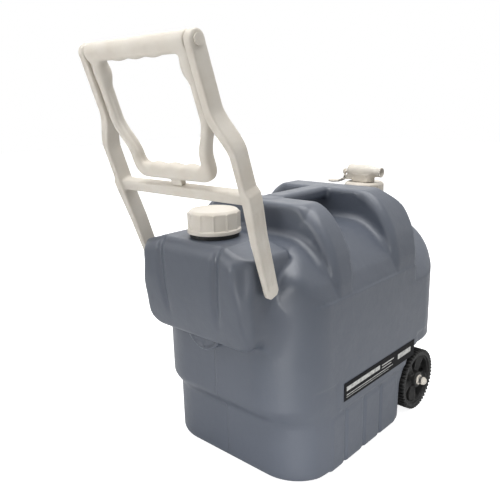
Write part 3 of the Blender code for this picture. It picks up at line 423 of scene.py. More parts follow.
arch = {
    "places": ((-0.04, 0.023), (0.127, 0.025)), "top": 0.401, "flat": 0.08, "sideZ": 0.29, "foot": 0.235,
    "inset": 0.0004, "power": 1.7, "flare": (0, 0.022, 0.092, 0.034),
    "bevel": (0.0015, 0.0055, 0.07, 0.03), "bevelEdge": 0.004, "backEdge": 0.004, "frontEdge": 0.003,
    "fillet": (0.014, -0.013, 0.125, 0.018),
}
carryBar = {
    "half": 0.018, "top": 0.403, "thickness": 0.02, "corner": 0.007,
    "dip": 0.005, "dipRear": (0.098, 0.01), "dipFront": (-0.012, -0.01),
}
block = {
    "half": 0.11, "frontY": -0.205, "middle": -0.156, "backY": -0.107, "top": 0.363, "low": 0.218,
    "corner": 0.014, "backCorner": 0.01, "lowCorner": 0.034, "cornerFillet": 0.01, "lowEdge": 0.008,
    "chin": 0.018, "chinStart": 0.315, "chinHeight": 0.097, "chinLimit": 1.15,
    "flat": 0.062, "crease": 0.0022, "creaseWidth": 0.007, "facet": 0.29, "topLean": 0.97,
    "topFillet": (0.009, 0.011, -0.18, -0.015),
    "grooveX": 0.05, "grooveDrift": 0.006, "driftRise": (0.25, 0.09), "grooveDepth": 0.0046,
    "grooveWidth": 0.0054, "grooveRise": (0.238, 0.05),
    "swellX": 0.083, "swellWidth": 0.016, "swell": 0.0022, "swellRise": (0.27, 0.055),
    "lipZ": 0.2345, "lipRadius": 0.033, "lipHalf": 0.0023, "lipFrontY": -0.18, "lipBackY": -0.13,
    "webFrontY": -0.1768, "lipBlend": 0.002,
    "blend": (0.006, 0.024), "blendAcross": (0.064, 0.046), "blendUp": (0.29, -0.03),
}
hollow = {
    "x": 0.1105, "y": -0.205, "reach": (0.003, 0.007, 0.222, 0.05), "more": (0, 0.0065, 0.285, 0.04),
    "top": 0.347, "topEdge": 0.008, "edge": 0.01,
}
recess = {"lean": 43.5, "room": 0.013, "x": 0.1205, "half": 0.015, "frontY": -0.188, "edge": 0.022}
sides = {
    "start": (0.14, 0.006), "panelDepth": 0.0015, "panelRise": (0.272, 0.002),
    "beltDepth": 0.0014, "beltTop": (0.142, 0.006), "beltAhead": (-0.048, -0.012),
    "beltBehind": (0.186, 0.008), "beltBelow": (0.1, -0.006),
    "footDepth": 0.0014, "footTop": (0.086, 0.008), "footFront": (-0.07, 0.006),
    "footRear": (0.119, 0.006), "ribPlaces": (-0.032, 0.02, 0.069), "ribDepth": 0.0036, "ribWidth": 0.003,
    "ribTop": (0.086, 0.01),
}
wheel = {
    "cell": 0.0013, "low": (0.126, 0.138, -0.0021), "high": (0.155, 0.252, 0.1119), "sharp": 40,
    "y": 0.195, "z": 0.0549, "radius": 0.0545, "inner": 0.128, "outer": 0.153,
    "teeth": 48, "toothDepth": 0.0034, "toothRise": (0.19, 0.1), "shoulder": 0.001,
    "shoulderWidth": 0.003, "edge": 0.001, "rim": 0.044, "rimEdge": 0.0025,
    "dish": 0.0012, "dishRise": 0.002, "dishFall": (0.0505, -0.0015), "dishReach": 0.004,
    "spokes": 5, "spokeHalf": 0.005, "spokeSpread": 0.33, "spokeFace": 0.0072, "ridge": 0.0045,
    "ridgeLimit": 1.2, "spokeEdge": 0.0012, "overlap": 0.002, "web": (0.0075, 0.0015),
    "hub": 0.014, "hubEdge": 0.002, "bore": 0.0063, "flange": (-0.001, 0.0016), "flangeHalf": 0.008,
    "spokeBlend": 0.0015, "hubBlend": 0.001,
}


def planField(ax, y, front, corner):
    # a rectangle with round corners, seen from above; the rear corners have their own radius
    t = tank
    middle = (front + t["rearY"]) / 2
    corner = np.where(y < middle, corner, t["rearCorner"])
    return roundRect(ax, y - middle, t["halfWidth"], (t["rearY"] - front) / 2, corner)


def bodyField(ax, y, z):
    # the lower plan passes into the upper one over the step, under a crown over the deck
    t = tank
    upper = planField(ax, y, t["frontY"], t["frontCorner"])
    lower = planField(ax, y, t["lowerFrontY"], t["lowerCorner"])
    plan = lower + (upper - lower) * ease((z - t["stepLow"]) / (t["stepHigh"] - t["stepLow"]))
    top = t["deck"] + t["crownOver"]
    crown = crownCurve(ax, z, t["crownFlat"], t["halfWidth"], t["shoulderStart"], top, t["crownPower"])
    # below the shoulders both fields lie on the same wall, so their fillets start only above it
    body = cutRound(plan, z - t["deck"], t["deckFillet"])
    body = cutSoft(body, crown, rising(z, *t["shoulder"]))
    body = cutSoft(body, rearShoulder(ax, y, z), rising(z, *rear["shoulder"]))
    body = cutSoft(body, -z, t["baseFillet"])
    return wheelCut(body, y, z)


def rearShoulder(ax, y, z):
    # behind the slope a dy = b dz, which starts at the rear arch, the deck is lower and rounder
    e = rear
    crown = crownCurve(ax, z, e["flat"], tank["halfWidth"] + e["over"], e["low"], e["deck"], e["power"])
    end = cutRound(y - tank["rearY"] - e["over"], z - e["deck"], e["fillet"])
    ahead = (y - e["start"]) * e["slope"][0] - (z - e["deck"]) * e["slope"][1]
    return joinSoft(cutSoft(crown, end, e["edge"]), ahead, e["blend"])


def bossField(ax, y, z):
    # a short cone under the rear neck: the radius grows evenly downward
    deck = tank["deck"]
    wide = boss["radius"] + boss["spread"] * (deck - z) / boss["height"]
    side = hypot(ax, y - tank["necks"][1][0]) - wide
    return maximum(cutSoft(side, z - deck, boss["edge"]), deck - boss["height"] - z)


def wheelCut(body, y, z):
    # the body stays ahead of two lines, y = start + rate (z - height), or above the overhang
    w = wheelRoom
    steep, slope = (start + rate * (z - height) for start, rate, height in (w["steep"], w["slope"]))
    keep = joinSoft((y - maximum(steep, slope)) * w["lean"], w["overhangZ"] - z, w["blend"])
    return cutSoft(body, keep, w["edge"])


def housingField(ax, y, z):
    # the box round the axle, with a quarter circle at its low rear edge
    h = housing
    r = h["radius"]
    qy = y - (wheel["y"] + r) + r
    qz = (wheel["z"] - r) - z + r
    side = hypot(maximum(qy, 0), maximum(qz, 0)) + minimum(maximum(qy, qz), 0) - r
    box = maximum(side, maximum(h["frontY"] - y, z - h["top"]))
    return cutSoft(box, ax - h["half"], h["edge"])


def archField(ax, y, z):
    # two bands along one crown curve; the rear one flares back where it turns down
    a = arch
    wide = tank["halfWidth"] - a["inset"]
    outline = crownCurve(ax, z, a["flat"], wide, a["sideZ"], a["top"], a["power"])
    outline = maximum(outline, a["foot"] - z)
    flare = rising(ax, *a["flare"])
    (first, firstHalf), (last, lastHalf) = a["places"]
    front = archSide(outline, first - firstHalf - y, y - first - firstHalf, ax)
    return minimum(front, archSide(outline, last - lastHalf - y, y - last - lastHalf - flare, ax))


def archSide(outline, ahead, behind, ax):
    # the front bevel widens where the arch turns down; (a + b) / sqrt 2 is its plane
    a = arch
    width = rising(ax, *a["bevel"])
    solid = cutSoft(outline, behind, a["backEdge"])
    solid = cutSoft(solid, ahead, a["frontEdge"])
    return cutSoft(solid, (outline + ahead) * diagonal + width, a["bevelEdge"])


def barField(ax, y, z):
    # a beam between the arches; both ends dip under their tops
    c = carryBar
    high = c["top"] - c["dip"] * (ramp(y, *c["dipRear"]) + ramp(y, *c["dipFront"]))
    low = high - c["thickness"]
    section = roundRect(ax, z - (low + high) / 2, c["half"], c["thickness"] / 2, c["corner"])
    (first, _), (last, _) = arch["places"]
    return maximum(section, between(y, first, last))


def blockField(ax, y, z):
    b = block
    # the front face and its upright corners draw back towards the chin by the square of the depth
    under = np.clip((b["chinStart"] - z) / b["chinHeight"], 0, b["chinLimit"])
    front = b["frontY"] + b["chin"] * under ** 2 + frontRelief(ax, z)
    middle = b["middle"]
    shifted = np.where(y < middle, (y - middle) * (middle - b["frontY"]) / (middle - front) + middle, y)
    corner = np.where(y < middle, b["corner"], b["backCorner"])
    centre = (b["frontY"] + b["backY"]) / 2
    plan = roundRect(ax, shifted - centre, b["half"], (b["backY"] - b["frontY"]) / 2, corner)
    # a flat top, a crease, then a facet that slopes down on each side
    height = b["top"] - b["crease"] * ramp(ax, b["flat"], b["creaseWidth"])
    height = height - b["facet"] * maximum(ax - b["flat"] - b["creaseWidth"], 0)
    solid = cutRound(plan, (z - height) * b["topLean"], rising(y, *b["topFillet"]))
    r = b["lowCorner"]
    side = hypot(maximum(ax - b["half"] + r, 0), maximum(b["low"] + r - z, 0)) - r
    solid = cutSoft(cutRound(solid, side, b["cornerFillet"]), b["low"] - z, b["lowEdge"])
    # a thin round rim hangs under the bottom edge, and a web just behind its front closes it
    disc = hypot(ax, z - b["lipZ"]) - b["lipRadius"]
    lip = maximum(abs(disc) - b["lipHalf"], between(y, b["lipFrontY"], b["lipBackY"]))
    web = maximum(disc, between(y, b["webFrontY"], b["lipBackY"]))
    solid = joinSoft(solid, joinSoft(lip, web, b["lipBlend"]), b["lipBlend"])
    return cutSoft(solid, -hollowField(ax, shifted, z), hollow["edge"])


def hollowField(ax, y, z):
    # an upright round hollow along each front corner of the block, widest under the top facet
    reach = rising(z, *hollow["reach"]) + rising(z, *hollow["more"])
    upright = hypot(ax - hollow["x"], y - hollow["y"]) - reach
    return cutSoft(upright, z - hollow["top"], hollow["topEdge"])


def frontRelief(ax, z):
    # a fading groove (plus) and a swelling beside it (minus), both bell curves across
    b = block
    rise = np.clip((z - b["driftRise"][0]) / b["driftRise"][1], 0, 1)
    groove = b["grooveDepth"] * bump((ax - b["grooveX"] - b["grooveDrift"] * rise) / b["grooveWidth"])
    swell = b["swell"] * bump((ax - b["swellX"]) / b["swellWidth"])
    return groove * ramp(z, *b["grooveRise"]) - swell * ramp(z, *b["swellRise"])


def recessField(ax, y, z):
    # the room for a leg that leans back: everything over and in front of the leg's line at its limit
    a = math.radians(recess["lean"])
    dy = y - tank["pivotY"]
    dz = z - tank["pivotZ"]
    behind = dy * math.cos(a) - dz * math.sin(a)
    along = dy * math.sin(a) + dz * math.cos(a)
    sweep = np.where(along > 0, behind, hypot(maximum(behind, 0), along)) - recess["room"]
    return maximum(sweep, maximum(slab(ax, recess["x"], recess["half"]), recess["frontY"] - y))


def sideRelief(ax, y, z):
    # how deep the sides lie: each step is a depth times ramps, each rib groove a bell curve along y
    s = sides
    panel = s["panelDepth"] * ramp(z, *s["panelRise"])
    flush = ramp(y, *s["beltAhead"]) + ramp(y, *s["beltBehind"]) + ramp(z, *s["beltBelow"])
    belt = s["beltDepth"] * (1 - ramp(z, *s["beltTop"])) * minimum(flush, 1)
    foot = s["footDepth"] * (1 - ramp(z, *s["footTop"]))
    foot = foot * ramp(y, *s["footFront"]) * (1 - ramp(y, *s["footRear"]))
    ribs = sum(s["ribDepth"] * bump((y - place) / s["ribWidth"]) for place in s["ribPlaces"])
    ribs = ribs * (1 - ramp(z, *s["ribTop"]))
    return ramp(ax, *s["start"]) * (panel + belt - foot + ribs)


def tankField(x, y, z):
    # all parts of the tank joined in turn; the recess is cut before the block is added
    t = tank
    ax = abs(x)
    body = joinSoft(bodyField(ax, y, z), housingField(ax, y, z), t["housingBlend"])
    body = joinSoft(body, bossField(ax, y, z), t["bossBlend"])
    body = joinSoft(body, archField(ax, y, z), rising(ax, *arch["fillet"]))
    body = joinSoft(body, barField(ax, y, z), t["barBlend"])
    body = body + sideRelief(ax, y, z)
    body = cutSoft(body, -recessField(ax, y, z), recess["edge"])
    least, more = block["blend"]
    blend = least + more * ramp(ax, *block["blendAcross"]) * ramp(z, *block["blendUp"])
    body = joinSoft(body, blockField(ax, y, z), blend)
    for y0, deck in t["necks"]:
        radius = hypot(x, y - y0) - t["neckRadius"]
        neck = maximum(radius, between(z, deck - t["neckFoot"], deck + t["neckHeight"]))
        body = joinSoft(body, neck, t["neckBlend"])
    return maximum(body, wheel["bore"] + t["tunnelGap"] - hypot(y - wheel["y"], z - wheel["z"]))


def makeTank():
    # one half, meshed and mirrored, because both sides are alike
    points, quads = netMesh(tankField, tank, half=True)
    onSeam = points[:, 0] < 1e-9
    mirror = points.copy()
    mirror[:, 0] *= -1
    number = np.arange(len(points)) + len(points)
    number[onSeam] = np.arange(len(points))[onSeam]
    both = np.concatenate([points, mirror])
    faces = np.concatenate([quads, number[quads][:, ::-1]])
    used = np.unique(faces)
    order = np.full(len(both), -1)
    order[used] = np.arange(len(used))
    addPiece("tankSkin", both[used], order[faces], "tank", "tank", ["tank_shell"])


makeTank()


# the handle, in its own plane: x across, d its depth, s the distance along the legs from the pivots

handle = {
    "lean": 18.2, "cell": 0.0016, "low": (-0.136, -0.014, -0.016), "high": (0.136, 0.014, 0.334),
    "depth": 0.0115, "edge": 0.003, "sideEdge": 0.002, "gripAxis": 0.318,
    "inner": ((0.078, 0.128), (0.113, 0.117)), "innerBend": (0, -0.0225, 0.184, 0.055),
    "outer": ((0, 0.078, 0.128, 0.138, 0.146), (0.121, 0.126, 0.1325, 0.1325, 0.128)),
    "outerBend": (0, -0.0215, 0.19, 0.055),
    "foot": 0.0108, "footBevel": 0.0118, "footEdge": 0.002,
    "webHalf": (0.0085, -0.0018), "webLow": (0.002, 0.006), "webHigh": (0.122, -0.01), "webInset": 0.003,
    "webDepth": 0.0016, "ribHeight": 0.0011, "ribWidth": 0.0022,
    "braceLow": 0.125, "braceHigh": 0.14, "braceDepth": 0.008, "braceCorner": 0.003, "braceHalf": 0.122,
    "braceGroove": 0.0012, "grooveWidth": 0.003, "braceBlend": 0.004,
    "holeRadius": 0.0055, "holeStart": 0.1183, "pinRadius": 0.0043,
}
grip = {
    "cell": 0.0013, "low": (-0.097, -0.014, 0.137), "high": (0.097, 0.014, 0.333),
    "depth": 0.0085, "half": 0.0935, "narrow": 0.075, "holeHalf": 0.08, "holeNarrow": 0.06,
    "bend": (0.18, 0.052), "foot": 0.149, "footCorner": 0.022,
    "holeLow": 0.168, "holeHigh": 0.307, "holeEdge": 0.004, "holeCorner": 0.014,
    "pitch": 0.033, "waves": 1.5, "swell": 0.002,
    "channel": 0.0016, "channelWidth": 0.0032, "channelStart": (0.05, 0.008),
    "channelTop": (0.276, -0.01), "innerEdge": 0.006, "faceEdge": 0.007, "ringTop": 0.31,
    "barMiddle": 0.004, "barHalf": 0.009,
    "barCorner": 0.007, "barTop": 0.318, "barBlend": 0.004, "barEdge": 0.006, "endEdge": 0.002,
    "knob": (0.0815, 0.291), "knobFlat": (0.85, 0.66), "knobRadius": 0.0082, "knobBlend": 0.008,
    "nubPlace": 0.1455, "nubHalf": 0.01, "nubHeight": 0.0051, "nubDepth": 0.004, "nubCorner": 0.002,
    "nubBlend": 0.002,
}


def leaned(points):
    # turned back by the lean about the pivots, and set there
    a = math.radians(handle["lean"])
    x, d, s = points.T
    y = tank["pivotY"] + d * math.cos(a) - s * math.sin(a)
    z = tank["pivotZ"] + d * math.sin(a) + s * math.cos(a)
    return np.stack([x, y, z], axis=1)


def handleField(x, d, s):
    h = handle
    ax = abs(x)
    # each edge is straight between its points and then steps inward
    inner = np.interp(s, *h["inner"]) + rising(s, *h["innerBend"])
    outer = np.interp(s, *h["outer"]) + rising(s, *h["outerBend"])
    across = cutSoft(inner - ax, ax - outer, h["sideEdge"])
    depth = hypot(maximum(s - h["gripAxis"], 0), d) - h["depth"]
    # the foot ends flat between two bevels
    foot = maximum(-s - h["foot"], (abs(d) - s) * diagonal - h["footBevel"])
    depth = cutSoft(depth, foot, h["footEdge"])
    # the outer face of each lower leg is sunk between two rims, with a low rib along its middle
    web = ramp(abs(d), *h["webHalf"]) * ramp(s, *h["webLow"]) * ramp(s, *h["webHigh"])
    sunk = h["webDepth"] - h["ribHeight"] * bump(d / h["ribWidth"])
    across = across + web * (ax > inner + h["webInset"]) * sunk
    leg = cutSoft(across, depth, h["edge"])
    middle = (h["braceLow"] + h["braceHigh"]) / 2
    half = (h["braceHigh"] - h["braceLow"]) / 2
    brace = roundRect(d, s - middle, h["braceDepth"], half, h["braceCorner"])
    brace = brace + h["braceGroove"] * bump((s - middle) / h["grooveWidth"])
    brace = maximum(brace, ax - h["braceHalf"])
    hole = minimum(h["holeRadius"] - hypot(d, s), h["holeStart"] - ax)
    pin = h["pinRadius"] - hypot(d, s - h["gripAxis"])
    return maximum(joinSoft(leg, brace, h["braceBlend"]), maximum(hole, pin))


def gripField(x, d, s):
    # a frame: its outline less its opening, both narrow below and wide above
    g = grip
    ax = abs(x)
    bend = ramp(s, *g["bend"])
    outer = g["narrow"] + (g["half"] - g["narrow"]) * bend
    hole = g["holeNarrow"] + (g["holeHalf"] - g["holeNarrow"]) * bend
    # finger swells: a raised cosine of the distance from the middle
    swell = g["swell"] * (1 + np.cos(2 * math.pi * ax / g["pitch"])) / 2 * (ax < g["waves"] * g["pitch"])
    outline = cutSoft(ax - outer, g["foot"] - s, g["footCorner"])
    opening = cutSoft(g["holeLow"] + swell - s, s - g["holeHigh"] + swell, g["holeEdge"])
    opening = cutSoft(ax - hole, opening, g["holeCorner"])
    # a shallow channel along the inner face of both arms
    channel = g["channel"] * bump(d / g["channelWidth"])
    opening = opening - channel * ramp(ax, *g["channelStart"]) * ramp(s, *g["channelTop"])
    ring = cutSoft(outline, -opening, g["innerEdge"])
    ring = maximum(cutSoft(ring, abs(d) - g["depth"], g["faceEdge"]), s - g["ringTop"])
    # the upper grip: a round bar over a flatter one
    bar = hypot(d, s - handle["gripAxis"]) - handle["depth"]
    lower = roundRect(d, s - (g["holeHigh"] + g["barMiddle"]), g["depth"], g["barHalf"], g["barCorner"])
    bar = joinSoft(bar, maximum(lower, s - g["barTop"]), g["barBlend"])
    bar = cutSoft(bar, g["holeHigh"] - swell - s, g["barEdge"])
    bar = cutSoft(bar, ax - g["half"], g["endEdge"])
    # an egg-shaped knob at each end of the bar, and a nub below the lower grip
    kx, ks = g["knob"]
    flatD, flatS = g["knobFlat"]
    knob = np.sqrt((ax - kx) ** 2 + (d * flatD) ** 2 + ((s - ks) * flatS) ** 2) - g["knobRadius"]
    nub = roundRect(x, s - g["nubPlace"], g["nubHalf"], g["nubHeight"], g["nubCorner"])
    nub = maximum(nub, abs(d) - g["nubDepth"])
    ring = joinSoft(joinSoft(ring, bar, g["barBlend"]), knob, g["knobBlend"])
    return joinSoft(ring, nub, g["nubBlend"])


points, quads = netMesh(handleField, handle)
addPiece("handleLegs", leaned(points), quads, "ivory", "handle", ["handle_frame"])
points, quads = netMesh(gripField, grip)
addPiece("gripRing", leaned(points), quads, "ivory", "grip", ["grip_frame"])


# caps

cap = {
    "radius": 0.037, "inset": 0.0012, "flange": 0.038, "height": 0.032, "inner": 0.0335, "top": 0.0044,
    "sink": 0.0008, "holeSink": 0.0006, "sinkStart": 0.01, "sinkEnd": 0.008, "rim": (0.0065, 0.003),
    "sideTop": 0.003, "sideLength": 0.01, "sideSteps": 10, "sideLow": 0.0062,
    "flangeTop": (0.0056, 0.0046), "chamfer": 0.0006, "soft": 0.0009, "softSteps": 2,
    "steps": 288, "sharp": 38,
    "ribs": 12, "ribReach": 0.0016, "ribWidth": 0.04, "ribLow": 0.0065, "ribHigh": 0.0035,
    "ribInside": 0.001,
    # y, height of the foot and radius of the hole
    "filler": (-0.148, 0.369, 0), "tap": (0.246, 0.361, 0.0123),
}


def capSwell(angle, profile):
    # upright ribs between the flange and the top, each a narrow bell curve in angle
    c = cap
    along = profile[:, 1:2]
    onSide = (along > c["ribLow"]) * (along < c["height"] - c["ribHigh"])
    onSide = onSide * (profile[:, 0:1] > c["inner"] + c["ribInside"])
    turn = (angle * c["ribs"] / (2 * math.pi)) % 1 - 0.5
    rib = bump(turn * 2 * math.pi / c["ribs"] / c["ribWidth"])
    return 1 + onSide * rib * c["ribReach"] / c["radius"]


def makeCap(name, place, body, node):
    # the profile runs from the middle of the top over the rim, down the side and up inside
    c = cap
    y, base, hole = c[place]
    r, f, h = c["radius"] - c["inset"], c["flange"], c["height"]
    level = h - c["sink"]
    outline = [(hole, h - c["holeSink"]) if hole else (0, level), (hole + c["sinkStart"], level)]
    outline += [(r - c["sinkEnd"], level)] + [(r - inward, h) for inward in c["rim"]]
    n = c["sideSteps"]
    outline += [(r, h - c["sideTop"] - (h - c["sideLength"]) * i / n) for i in range(n + 1)]
    upper, lower = c["flangeTop"]
    cut = c["chamfer"]
    outline += [(r, c["sideLow"]), (f - cut, upper), (f, lower), (f, cut), (f - cut, 0)]
    outline += [(c["inner"], 0), (c["inner"], h - c["top"]), (hole, h - c["top"])]
    profile = rounded(outline, c["soft"], c["softSteps"])
    points, faces = turnedGrid(profile[::-1], c["steps"], capSwell)
    points = points + np.array([0, y, base])
    addPiece(name, points, faces, "ivory", body, [node], c["sharp"])


makeCap("fillerCapTop", "filler", "filler_lid", "filler_cap")
makeCap("tapCapTop", "tap", "tap", "tap_cap")


# the tap; pairs of rows give a line through points, other pairs a middle and half width

tap = {
    "cell": 0.0009, "low": (-0.042, 0.229, 0.384), "high": (0.04, 0.263, 0.428), "sharp": 50,
    "y": 0.246, "z": 0.4108, "climb": (0, 0.001, 0.008, 0.02), "pivotX": -0.035, "pivotZ": 0.4005,
    "radii": ((-0.031, 0.0085, 0.024, 0.0325, 0.0375), (0.0132, 0.0132, 0.0093, 0.0088, 0.0096)),
    "ends": (-0.031, 0.0372), "endEdge": 0.0022,
    "saddleX": -0.002, "saddleHalf": 0.0215, "saddleWide": 0.0125, "saddleCorner": 0.011,
    "saddleZ": (0.3935, 0.406), "stemRadius": 0.012, "stemZ": (0.386, 0.408), "stemBlend": 0.004,
    "ear": (0.0103, 0.0015), "earRadius": 0.0042, "armEnd": -0.02, "armZ": (0.3965, 0.4045),
    "armBlend": 0.002, "mouth": ((0.03, 0.0375), (0.005, 0.0076)), "mouthStart": 0.012,
}
lever = {
    "cell": 0.0009, "low": (-0.08, 0.235, 0.385), "high": (-0.028, 0.257, 0.415), "sharp": 50,
    "hub": 0.004, "half": 0.0021, "end": -0.077,
    "line": ((-0.077, -0.068, -0.054, -0.035), (0.3905, 0.3897, 0.3912, 0.4005)),
    "tilt": ((-0.056, -0.052), (1.0, 0.88)), "width": ((-0.077, -0.06, -0.035), (0.0085, 0.0085, 0.007)),
    "blend": 0.003, "edge": 0.003, "paddleX": (-0.057, 0.0205), "paddleWide": 0.0088, "corner": 0.005,
    "cornerEnd": -0.05,
    "tineX": (-0.03905, 0.00125), "tineY": (0.0059, 0.0023), "tineZ": (0.4052, 0.0047),
}


def tapField(x, y, z):
    t = tap
    # the axis climbs 1 mm towards the outlet
    r = hypot(y - t["y"], z - t["z"] - rising(x, *t["climb"]))
    barrel = cutSoft(r - np.interp(x, *t["radii"]), between(x, *t["ends"]), t["endEdge"])
    saddle = roundRect(x - t["saddleX"], y - t["y"], t["saddleHalf"], t["saddleWide"], t["saddleCorner"])
    saddle = maximum(saddle, between(z, *t["saddleZ"]))
    stem = maximum(hypot(x, y - t["y"]) - t["stemRadius"], between(z, *t["stemZ"]))
    body = joinSoft(barrel, minimum(stem, saddle), t["stemBlend"])
    # two ears hold the lever's pin, each on an arm from the barrel
    plate = slab(abs(y - t["y"]), *t["ear"])
    ears = maximum(plate, hypot(x - t["pivotX"], z - t["pivotZ"]) - t["earRadius"])
    arm = maximum(plate, maximum(between(x, t["pivotX"], t["armEnd"]), between(z, *t["armZ"])))
    body = joinSoft(body, minimum(ears, arm), t["armBlend"])
    mouth = maximum(r - np.interp(x, *t["mouth"]), t["mouthStart"] - x)
    return maximum(body, -mouth)


def leverField(x, y, z):
    v = lever
    dy = abs(y - tap["y"])
    hub = hypot(x - tap["pivotX"], z - tap["pivotZ"]) - v["hub"]
    # the paddle follows a line that drops to a knee and then runs out level
    thick = abs(z - np.interp(x, *v["line"])) * np.interp(x, *v["tilt"]) - v["half"]
    paddle = maximum(thick, between(x, v["end"], tap["pivotX"]))
    flat = cutSoft(joinSoft(hub, paddle, v["blend"]), dy - np.interp(x, *v["width"]), v["edge"])
    middle, half = v["paddleX"]
    corner = roundRect(x - middle, y - tap["y"], half, v["paddleWide"], v["corner"])
    flat = maximum(flat, np.where(x < v["cornerEnd"], corner, -1))
    tine = maximum(slab(x, *v["tineX"]), maximum(slab(dy, *v["tineY"]), slab(z, *v["tineZ"])))
    return minimum(flat, tine)


points, quads = netMesh(tapField, tap)
addPiece("tapBarrel", points, quads, "ivory", "tap", ["tap_body"], tap["sharp"])
points, quads = netMesh(leverField, lever)
addPiece("tapPaddle", points, quads, "ivory", "lever", ["tap_lever"], lever["sharp"])


# wheels

def wheelField(x, y, z):
    # x is the distance out from the tank's middle, so one field serves both sides
    w = wheel
    dy = y - w["y"]
    dz = z - w["z"]
    r = hypot(dy, dz)
    angle = np.arctan2(dz, dy)
    middle = (w["inner"] + w["outer"]) / 2
    half = (w["outer"] - w["inner"]) / 2
    off = abs(x - middle)
    # tread blocks right across the tyre: a ramp each way in every part of the turn
    phase = angle * w["teeth"] / (2 * math.pi)
    tread = w["radius"] - w["toothDepth"] * ramp(abs((phase % 1) - 0.5), *w["toothRise"])
    shoulder = w["shoulder"] * ease((off - half + w["shoulderWidth"]) / w["shoulderWidth"]) ** 2
    tyre = cutSoft(r - tread + shoulder, off - half, w["edge"])
    # a shallow round groove in both faces, between the rim and the tread
    dish = w["dish"] * ramp(r, w["rim"], w["dishRise"]) * ramp(r, *w["dishFall"])
    tyre = tyre + dish * (off > half - w["dishReach"])
    tyre = cutSoft(tyre, w["rim"] - r, w["rimEdge"])
    # each spoke is a wide wedge with a raised ridge down its middle
    turn = ((angle - math.pi / 2) * w["spokes"] / (2 * math.pi)) % 1 - 0.5
    sweep = abs(turn) * 2 * math.pi / w["spokes"] * r
    wide = w["spokeHalf"] + w["spokeSpread"] * maximum(r - w["hub"], 0)
    face = w["spokeFace"] - w["ridge"] * np.clip(sweep / wide, 0, w["ridgeLimit"])
    within = r - w["rim"] - w["overlap"]
    spoke = cutSoft(maximum(sweep - wide, within), off - face, w["spokeEdge"])
    # a thin web closes the gaps between the spokes near the inner side
    spoke = minimum(spoke, maximum(slab(x - w["inner"], *w["web"]), within))
    hub = cutSoft(r - w["hub"], off - half, w["hubEdge"])
    flange = maximum(slab(r - w["rim"], *w["flange"]), off - w["flangeHalf"])
    outerPart = joinSoft(tyre, spoke, w["spokeBlend"])
    solid = joinSoft(outerPart, joinSoft(hub, flange, w["hubBlend"]), w["spokeBlend"])
    return maximum(solid, w["bore"] - r)


def makeWheels():
    # the right wheel, and its mirror image on the left
    points, quads = netMesh(wheelField, wheel)
    addPiece("wheelRight", points, quads, "black", "wheel_right", ["wheel_right"], wheel["sharp"])
    mirror = points * np.array([-1, 1, 1])
    quads = quads[:, ::-1]
    addPiece("wheelLeft", mirror, quads, "black", "wheel_left", ["wheel_left"], wheel["sharp"])


makeWheels()


washer = {"bore": 0.0063, "radius": 0.009, "start": 0.1533, "end": 0.1553, "chamfer": 0.0006}
nut = {
    "bore": 0.0061, "radius": 0.007, "start": 0.1556, "end": 0.1676, "roof": 0.003, "lip": 0.005,
    "domeLow": 0.0054, "domeHeight": 0.0066, "domeIn": 0.0035, "domeFrom": 0.3, "domePoints": 6,
}
turned = {"steps": 72, "sharp": 35}


def sideTurned(name, profile, side, node):
    # a turned piece on the wheels' axis, along x
    points, faces = turnedGrid(profile, turned["steps"])
    a, b, along = points.T
    placed = np.stack([side * along, wheel["y"] + a, wheel["z"] + b * side], axis=1)
    addPiece(name, placed, faces, "ivory", "tank", [node], turned["sharp"])


def washerProfile():
    # a flat ring with one chamfer
    w = washer
    outline = [(w["bore"], w["start"]), (w["radius"], w["start"]), (w["radius"], w["end"] - w["chamfer"])]
    return outline + [(w["radius"] - w["chamfer"], w["end"]), (w["bore"], w["end"])]


def nutProfile():
    # a cap over the axle's end; its dome draws in by the cube of the way up
    n = nut
    roof, foot = n["end"] - n["roof"], n["start"] + n["domeLow"]
    outline = [(0, roof), (n["bore"], roof), (n["bore"], n["start"] + n["lip"]), (n["radius"], foot)]
    for t in np.linspace(n["domeFrom"], 1, n["domePoints"]):
        outline.append((n["radius"] - n["domeIn"] * t ** 3, foot + n["domeHeight"] * t))
    return outline + [(0, n["end"])]


for side, word in ((1, "Right"), (-1, "Left")):
    sideTurned("washer" + word, washerProfile(), side, "wheel_washer_" + word.lower())
    sideTurned("hubCap" + word, nutProfile(), side, "axle_nut_" + word.lower())


# CAD nodes that stay get their finish here

label = {
    "film": (0.008, 0.008, 0.009), "print": (0.55, 0.55, 0.53), "rough": (0.42, 0.58), "specular": 0.05,
    "wear": (160, 4, 0.7), "fade": (0.55, 1.0, 0.35, 0.55),
    # low and high z, then first and last y
    "bars": ((0.124, 0.131, -0.034, 0.062), (0.127, 0.129, 0.068, 0.106),
             (0.1225, 0.124, 0.068, 0.098), (0.117, 0.1182, -0.034, 0.104),
             (0.1136, 0.1144, -0.034, 0.09), (0.12, 0.129, 0.12, 0.164)),
}


def labelFilm(name):
    # a black film with plain pale bars, laid out by the object's own y and z
    material, tree, shader = nodesOf(name)
    place = placeNode(tree)

    def window(source, low, high):
        above = mathNode(tree, "GREATER_THAN", source, low)
        return mathNode(tree, "MULTIPLY", above, mathNode(tree, "LESS_THAN", source, high))

    marks = None
    for low, high, start, end in label["bars"]:
        bar = mathNode(tree, "MULTIPLY", window(place["Z"], low, high), window(place["Y"], start, end))
        marks = bar if marks is None else mathNode(tree, "MAXIMUM", marks, bar)
    wear = noiseNode(tree, *label["wear"])
    amount = mathNode(tree, "MULTIPLY", marks, rangeNode(tree, wear, *label["fade"]))
    tone = rampNode(tree, amount, [(0.0, label["film"]), (1.0, label["print"])])
    connect(tree, shader, tone, rangeNode(tree, wear, *label["rough"]))
    shader.inputs["Specular IOR Level"].default_value = label["specular"]
    return material


